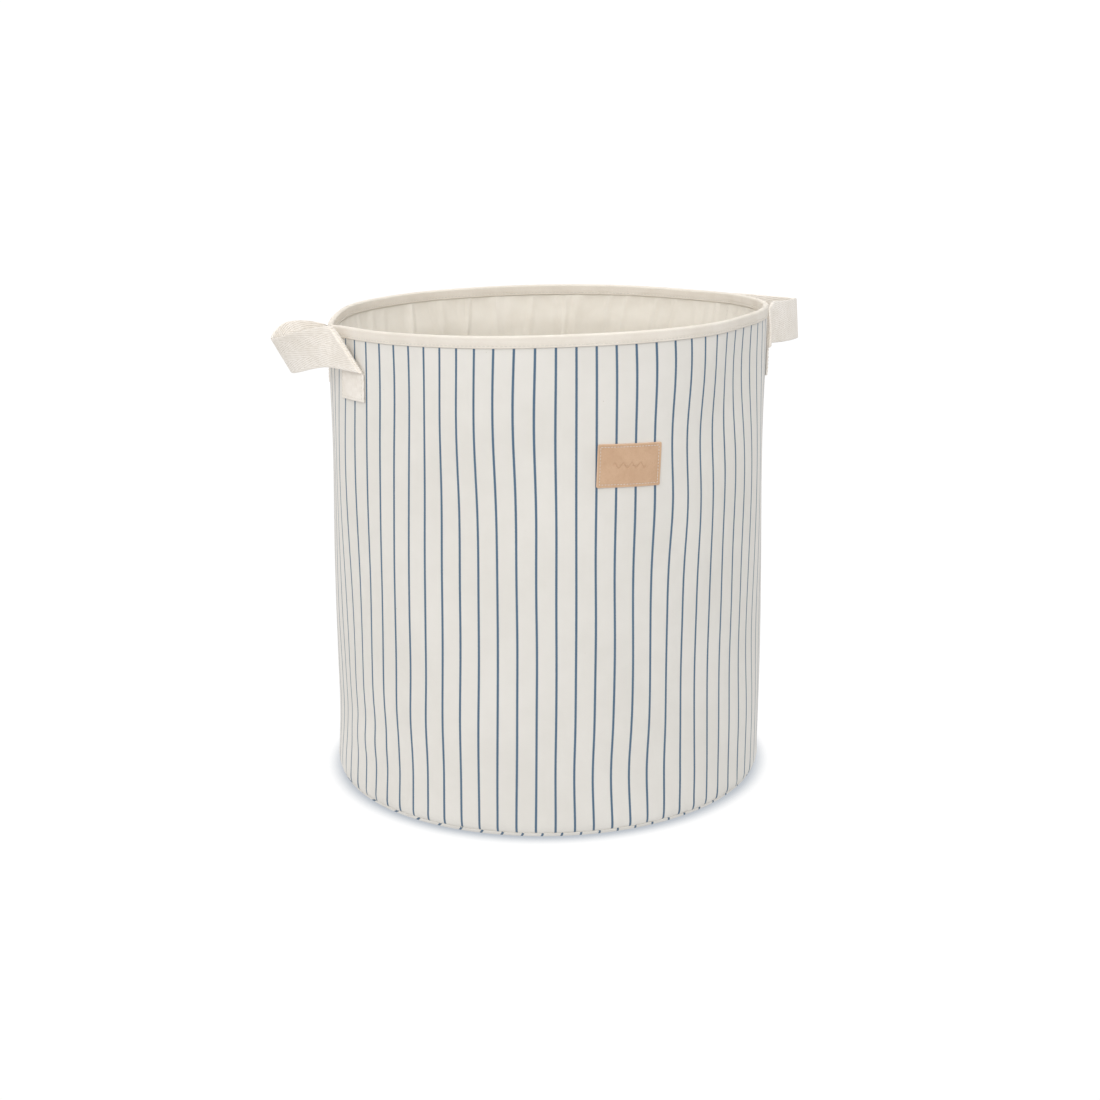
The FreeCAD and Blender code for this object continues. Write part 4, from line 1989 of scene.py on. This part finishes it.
        on_tab = on_tab + (raised - lying) * climb[..., None]
        along = np.maximum(edge - aside_flat, 0.0)
        on_loop = self._loop(half, along, high_flat, proud_now)
        return on_tab * (1 - share[..., None]) + on_loop * share[..., None]

    def _half_length(self, half: int) -> float:
        """The webbing's length from a cut end to the loop's middle."""
        _, runs = self._plan(half)
        return self.sewn + runs[-1]

    @property
    def length(self) -> float:
        """The webbing's whole cut length."""
        return self._half_length(1) + self._half_length(-1)

    def _section(self) -> Array:
        """The webbing's cut section: (across, proud) pairs with rounded edges.

        Returns:
            The pairs.
        """
        half_t = self.thick / 2
        flat = self.width / 2 - half_t
        face = steps(-flat, flat, self.edge_columns)
        over = np.stack([face, np.full(len(face), half_t)], -1)
        under = np.stack([face[::-1], np.full(len(face), -half_t)], -1)
        right = round_corner(flat, 0.0, half_t, 67.5, -67.5, 5)
        left = round_corner(-flat, 0.0, half_t, 247.5, 112.5, 5)
        return np.concatenate([over, right, under, left])

    def webbing(self) -> Piece:
        """The whole strap as one piece of webbing that bends at its feet.

        Returns:
            The piece.
        """
        section = self._section()
        nets, runs = [], []
        for half in (1, -1):
            runs.append(steps(0.0, self._half_length(half), self.rows_each_half))
            run, across = np.meshgrid(runs[-1], section[:, 0], indexing="ij")
            _, proud = np.meshgrid(runs[-1], section[:, 1], indexing="ij")
            nets.append(self._sheet_point(half, run, across, proud))
        places = np.concatenate([nets[0], nets[1][-2::-1]])
        run = np.concatenate([runs[0], self.length - runs[1][-2::-1]])
        on_far_face = np.where(section[:, 1] < 0, self.far_face, 0)
        marks_across = np.append(section[:, 0] + on_far_face, section[0, 0])
        marks = np.stack(np.broadcast_arrays(marks_across[None, :], run[:, None]), -1)
        name = self.side.word + "_handle_webbing"
        piece = Stock.WEBBING.dress(Surface(places, marks, close_ends=True), name)
        self.length
        node = self.side.word + "_handle"
        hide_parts(node + "_loop", node + "_front_end", node + "_rear_end")
        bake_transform(piece)
        return piece

    def thread(self) -> Piece:
        """The rectangle of stitches on each sewn end.

        Returns:
            The piece.
        """
        wide, inset = self.width / 2 - self.stitch_inset, self.stitch_inset
        bottom, top = self.strap_bottom - self.sewn + inset, self.strap_bottom - 0.6 * inset
        corners = np.array([[wide, top], [wide, bottom], [-wide, bottom], [-wide, top]])
        lines = []
        for half in (1, -1):
            run = run_of(corners)
            at = steps(0, run[-1], 240)
            flat = np.stack([np.interp(at, run, corners[:, k]) for k in range(2)], -1)
            proud = np.full(len(flat), self.thick - 0.05 * MM)
            path = self._tab(half, flat[:, 0], flat[:, 1], proud)
            face = unit(self._tab(half, flat[:, 0], flat[:, 1], proud + MM) - path)
            lines.append(StitchLine(path, face))
        piece = Needle(stitch=2.4 * MM).sew(lines, self.side.word + "_handle_thread")
        return on_bin(piece, self.side.word + "_handle_stitching")


# ---- Studio ----


Tint = tuple[float, float, float]


@dataclass(frozen=True)
class Softbox:
    """A square softbox: its place, its side in metres, its power in watts and its tint."""

    name: str
    place: tuple[float, float, float]
    size: float
    power: float
    tint: Tint = (1.0, 1.0, 1.0)
    aim: tuple[float, float, float] = (0.0, 0.0, 0.22)

    def hang(self) -> None:
        """Hang the softbox so that it faces the bin's middle."""
        light = bpy.data.lights.new(self.name, "AREA")
        light.shape = "SQUARE"
        light.size = self.size
        light.energy = self.power
        light.color = self.tint
        box = bpy.data.objects.new(self.name, light)
        box.location = self.place
        aim = Vector(self.aim) - box.location
        box.rotation_euler = aim.to_track_quat("-Z", "Y").to_euler()
        bpy.context.scene.collection.objects.link(box)


@dataclass
class Studio:
    """The pale floor, the soft light and the camera.

    Attributes:
        turn: degrees that the camera stands round from the front.
        distance: how far the camera is from the axis.
        high: the camera's height.
        pitch: degrees that it looks down.
        roll: degrees that it is turned about its own line of sight.
        aside: how far it is shifted to its right.
        shadow_reach: how far from the bin the floor is darkened.
    """

    turn: float = -16.0
    distance: float = 1.510
    high: float = 0.609
    pitch: float = 15.06
    roll: float = -0.66
    lens: float = 54.16
    aside: float = 4.2 * MM
    floor_half: float = 30.0
    shadow_reach: float = 0.018
    shadow: Colour = shade(0.50, 0.53, 0.57)
    floor_glow: float = 1.03
    backdrop_glow: float = 1.05
    from_above: Tint = (0.985, 0.985, 0.985)
    from_below: Tint = (0.755, 0.755, 0.755)
    from_right: Tint = (0.93, 0.94, 0.95)
    softboxes: tuple[Softbox, ...] = (
        Softbox("key", (-1.15, -2.15, 1.65), 1.6, 19.5, (1.0, 0.99, 0.975)),
        Softbox("top", (0.1, -0.3, 2.4), 1.8, 9.0),
    )

    def floor(self) -> None:
        """Lay a wide white floor, a little darker where the bin keeps light off it."""
        half = self.floor_half
        corners = [(-half, -half, 0.0), (half, -half, 0.0), (half, half, 0.0), (-half, half, 0.0)]
        mesh = bpy.data.meshes.new("floor")
        mesh.from_pydata(corners, [], [(0, 1, 2, 3)])
        material = bpy.data.materials.new("floor_white")
        material.use_nodes = True
        tree = material.node_tree
        tree.nodes.clear()
        bench = Bench(tree)
        near = bench.node("AmbientOcclusion", {"Distance": self.shadow_reach}, samples=8).outputs["AO"]
        tone = bench.mix(bench.span(near, 0.30, 0.96), self.shadow, WHITE)
        glow = bench.node("Emission", {"Color": tone, "Strength": self.floor_glow})
        bench.node("OutputMaterial", {"Surface": glow.outputs[0]})
        mesh.materials.append(material)
        floor = bpy.data.objects.new("floor", mesh)
        floor.visible_diffuse = False
        bpy.context.scene.collection.objects.link(floor)

    def light(self) -> None:
        """Surround the bin with soft white light, stronger from above and from the left."""
        world = bpy.data.worlds.new("studio")
        bpy.context.scene.world = world
        world.use_nodes = True
        tree = world.node_tree
        tree.nodes.clear()
        bench = Bench(tree)
        direction = bench.node("TexCoord").outputs["Generated"]
        left, up = (-0.96, 0.28, 0.0), (0.0, 0.0, 1.0)
        sideways = bench.node("VectorMath", {0: direction, 1: left}, operation="DOT_PRODUCT")
        upwards = bench.node("VectorMath", {0: direction, 1: up}, operation="DOT_PRODUCT")
        climb = bench.span(upwards.outputs["Value"], -0.25, 0.35)
        sky = bench.mix(climb, shade(*self.from_below), shade(*self.from_above))
        swing = bench.span(sideways.outputs["Value"], -0.8, 0.8)
        tint = bench.mix(swing, shade(*self.from_right), WHITE)
        both = bench.node("Mix", {0: 1.0, 6: sky, 7: tint}, data_type="RGBA", blend_type="MULTIPLY")
        soft = bench.node("Background", {"Color": both.outputs[2], "Strength": 1.0})
        seen = bench.node("Background", {"Color": WHITE, "Strength": self.backdrop_glow})
        straight = bench.node("LightPath").outputs["Is Camera Ray"]
        mixed = bench.node("MixShader", {0: straight, 1: soft.outputs[0], 2: seen.outputs[0]})
        bench.node("OutputWorld", {"Surface": mixed.outputs[0]})
        for softbox in self.softboxes:
            softbox.hang()

    def camera(self) -> None:
        """Stand the camera in front and to the left, looking a little down."""
        turn, pitch = math.radians(self.turn), math.radians(self.pitch)
        right = Vector((math.cos(turn), math.sin(turn), 0.0))
        back = Vector((math.sin(turn), -math.cos(turn), 0.0))
        data = bpy.data.cameras.new("camera")
        data.lens = self.lens
        data.sensor_width = 36.0
        data.clip_end = 100.0
        camera = bpy.data.objects.new("camera", data)
        place = back * self.distance + right * self.aside + Vector((0.0, 0.0, self.high))
        look = -back * math.cos(pitch) - Vector((0.0, 0.0, math.sin(pitch)))
        level = Matrix.Rotation(math.radians(self.roll), 4, "Z")
        facing = look.to_track_quat("-Z", "Y").to_matrix().to_4x4()
        camera.matrix_world = Matrix.Translation(place) @ facing @ level
        bpy.context.scene.collection.objects.link(camera)
        bpy.context.scene.camera = camera

    def set_up(self) -> None:
        """Make the whole studio."""
        self.camera()
        self.floor()
        self.light()
        bpy.context.scene.view_settings.view_transform = "Standard"


SOFT_SPOTS = (
    SoftSpot(around=-72, level=0.060, half_width=22, half_height=0.030, depth=4.0 * MM),
    SoftSpot(around=22, level=0.310, half_width=9, half_height=0.050, depth=2.5 * MM),
    SoftSpot(around=40, level=0.120, half_width=14, half_height=0.060, depth=2.0 * MM),
    SoftSpot(around=-40, level=0.300, half_width=16, half_height=0.070, depth=2.0 * MM),
    SoftSpot(around=-56, level=0.400, half_width=13, half_height=0.090, pull=5.0 * MM),
    SoftSpot(around=-30, level=0.360, half_width=14, half_height=0.070, pull=-3.8 * MM),
    SoftSpot(around=-78, level=0.300, half_width=9, half_height=0.100, depth=-3.3 * MM, pull=-1.0 * MM),
    SoftSpot(around=17, level=0.400, half_width=11, half_height=0.050, pull=4.7 * MM),
    SoftSpot(around=18, level=0.290, half_width=10, half_height=0.045, pull=4.2 * MM),
    SoftSpot(around=40, level=0.390, half_width=11, half_height=0.060, depth=7.0 * MM),
    SoftSpot(around=29, level=0.345, half_width=8, half_height=0.035, depth=2.8 * MM),
    SoftSpot(around=27, level=0.150, half_width=9, half_height=0.060, pull=-1.8 * MM),
    SoftSpot(around=-70, level=0.060, half_width=12, half_height=0.018, depth=-3.5 * MM),
    SoftSpot(around=-88, level=0.100, half_width=9, half_height=0.050, depth=2.5 * MM),
    SoftSpot(around=-51, level=0.090, half_width=8, half_height=0.035, pull=-1.8 * MM),
    SoftSpot(around=48, level=0.080, half_width=10, half_height=0.060, depth=-3.0 * MM),
    SoftSpot(around=4, level=0.055, half_width=16, half_height=0.035, pull=-2.3 * MM),
    SoftSpot(around=-16, level=0.240, half_width=40, half_height=0.200, pull=1.2 * MM),
    SoftSpot(around=-104, level=0.400, half_width=16, half_height=0.100, depth=-2.5 * MM),
    SoftSpot(around=74, level=0.400, half_width=14, half_height=0.090, depth=-2.0 * MM),
    SoftSpot(around=-98, level=0.435, half_width=15, half_height=0.050, sink=6.0 * MM),
    SoftSpot(around=118, level=0.440, half_width=28, half_height=0.080, sink=3.5 * MM),
    SoftSpot(around=120, level=0.200, half_width=24, half_height=0.090, depth=3.0 * MM, pull=1.5 * MM),
    SoftSpot(around=-130, level=0.140, half_width=20, half_height=0.070, depth=2.5 * MM, pull=-1.2 * MM),
    SoftSpot(around=165, level=0.330, half_width=18, half_height=0.060, depth=2.0 * MM),
)


def make_bin() -> list[Piece]:
    """Build every piece of the bin in the order it is sewn.

    Returns:
        The pieces.
    """
    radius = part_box("outer_side_panel")[1].x
    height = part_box("rim_binding")[1].z
    padding_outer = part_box("wall_padding")[1].x
    lining_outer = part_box("lining_base")[1].x
    wall = WallShape(radius=radius, height=height, spots=SOFT_SPOTS)
    shell = Shell(wall)
    padding = Padding(wall, outer=padding_outer, inner=lining_outer)
    lining = Lining(wall, outer=lining_outer)
    binding = Binding(wall, inner=lining_outer - lining.cloth)
    label = Label(wall)
    left = Handle(
        wall,
        Side.LEFT,
        reach=40 * MM,
        droop=7 * MM,
        lean=27.0,
        crease=0.0,
        rise=14.0,
        rear_rise=14.0,
        loose=0.35,
        below_rim=-1 * MM,
        droop_power=2.0,
        arch=3 * MM,
        rear_dip=7 * MM,
    )
    right = Handle(
        wall,
        Side.RIGHT,
        reach=46 * MM,
        droop=4.5 * MM,
        lean=-4.0,
        crease=0.9,
        rise=15.0,
        rear_rise=16.0,
        loose=0.05,
        below_rim=0.0,
        droop_power=0.7,
    )
    pieces = [padding.side(), padding.base(), shell.side(), shell.base(), *shell.seams()]
    pieces += [lining.side(), lining.base(), lining.seam_thread()]
    pieces += [binding.tape_piece(), binding.thread(), label.leather(), label.thread()]
    for handle in (left, right):
        pieces += [handle.webbing(), handle.thread()]
        log.info("%s webbing is %.1f mm long", handle.side.word, handle.length / MM)
    return pieces


def main() -> None:
    """Set up the studio, build the bin and write how large it came out."""
    logging.basicConfig(level=logging.INFO, format="%(name)s: %(message)s")
    Studio().set_up()
    for piece in make_bin():
        log.info("%s: %d faces", piece.name, len(piece.data.polygons))


if __name__ == "__main__":
    main()
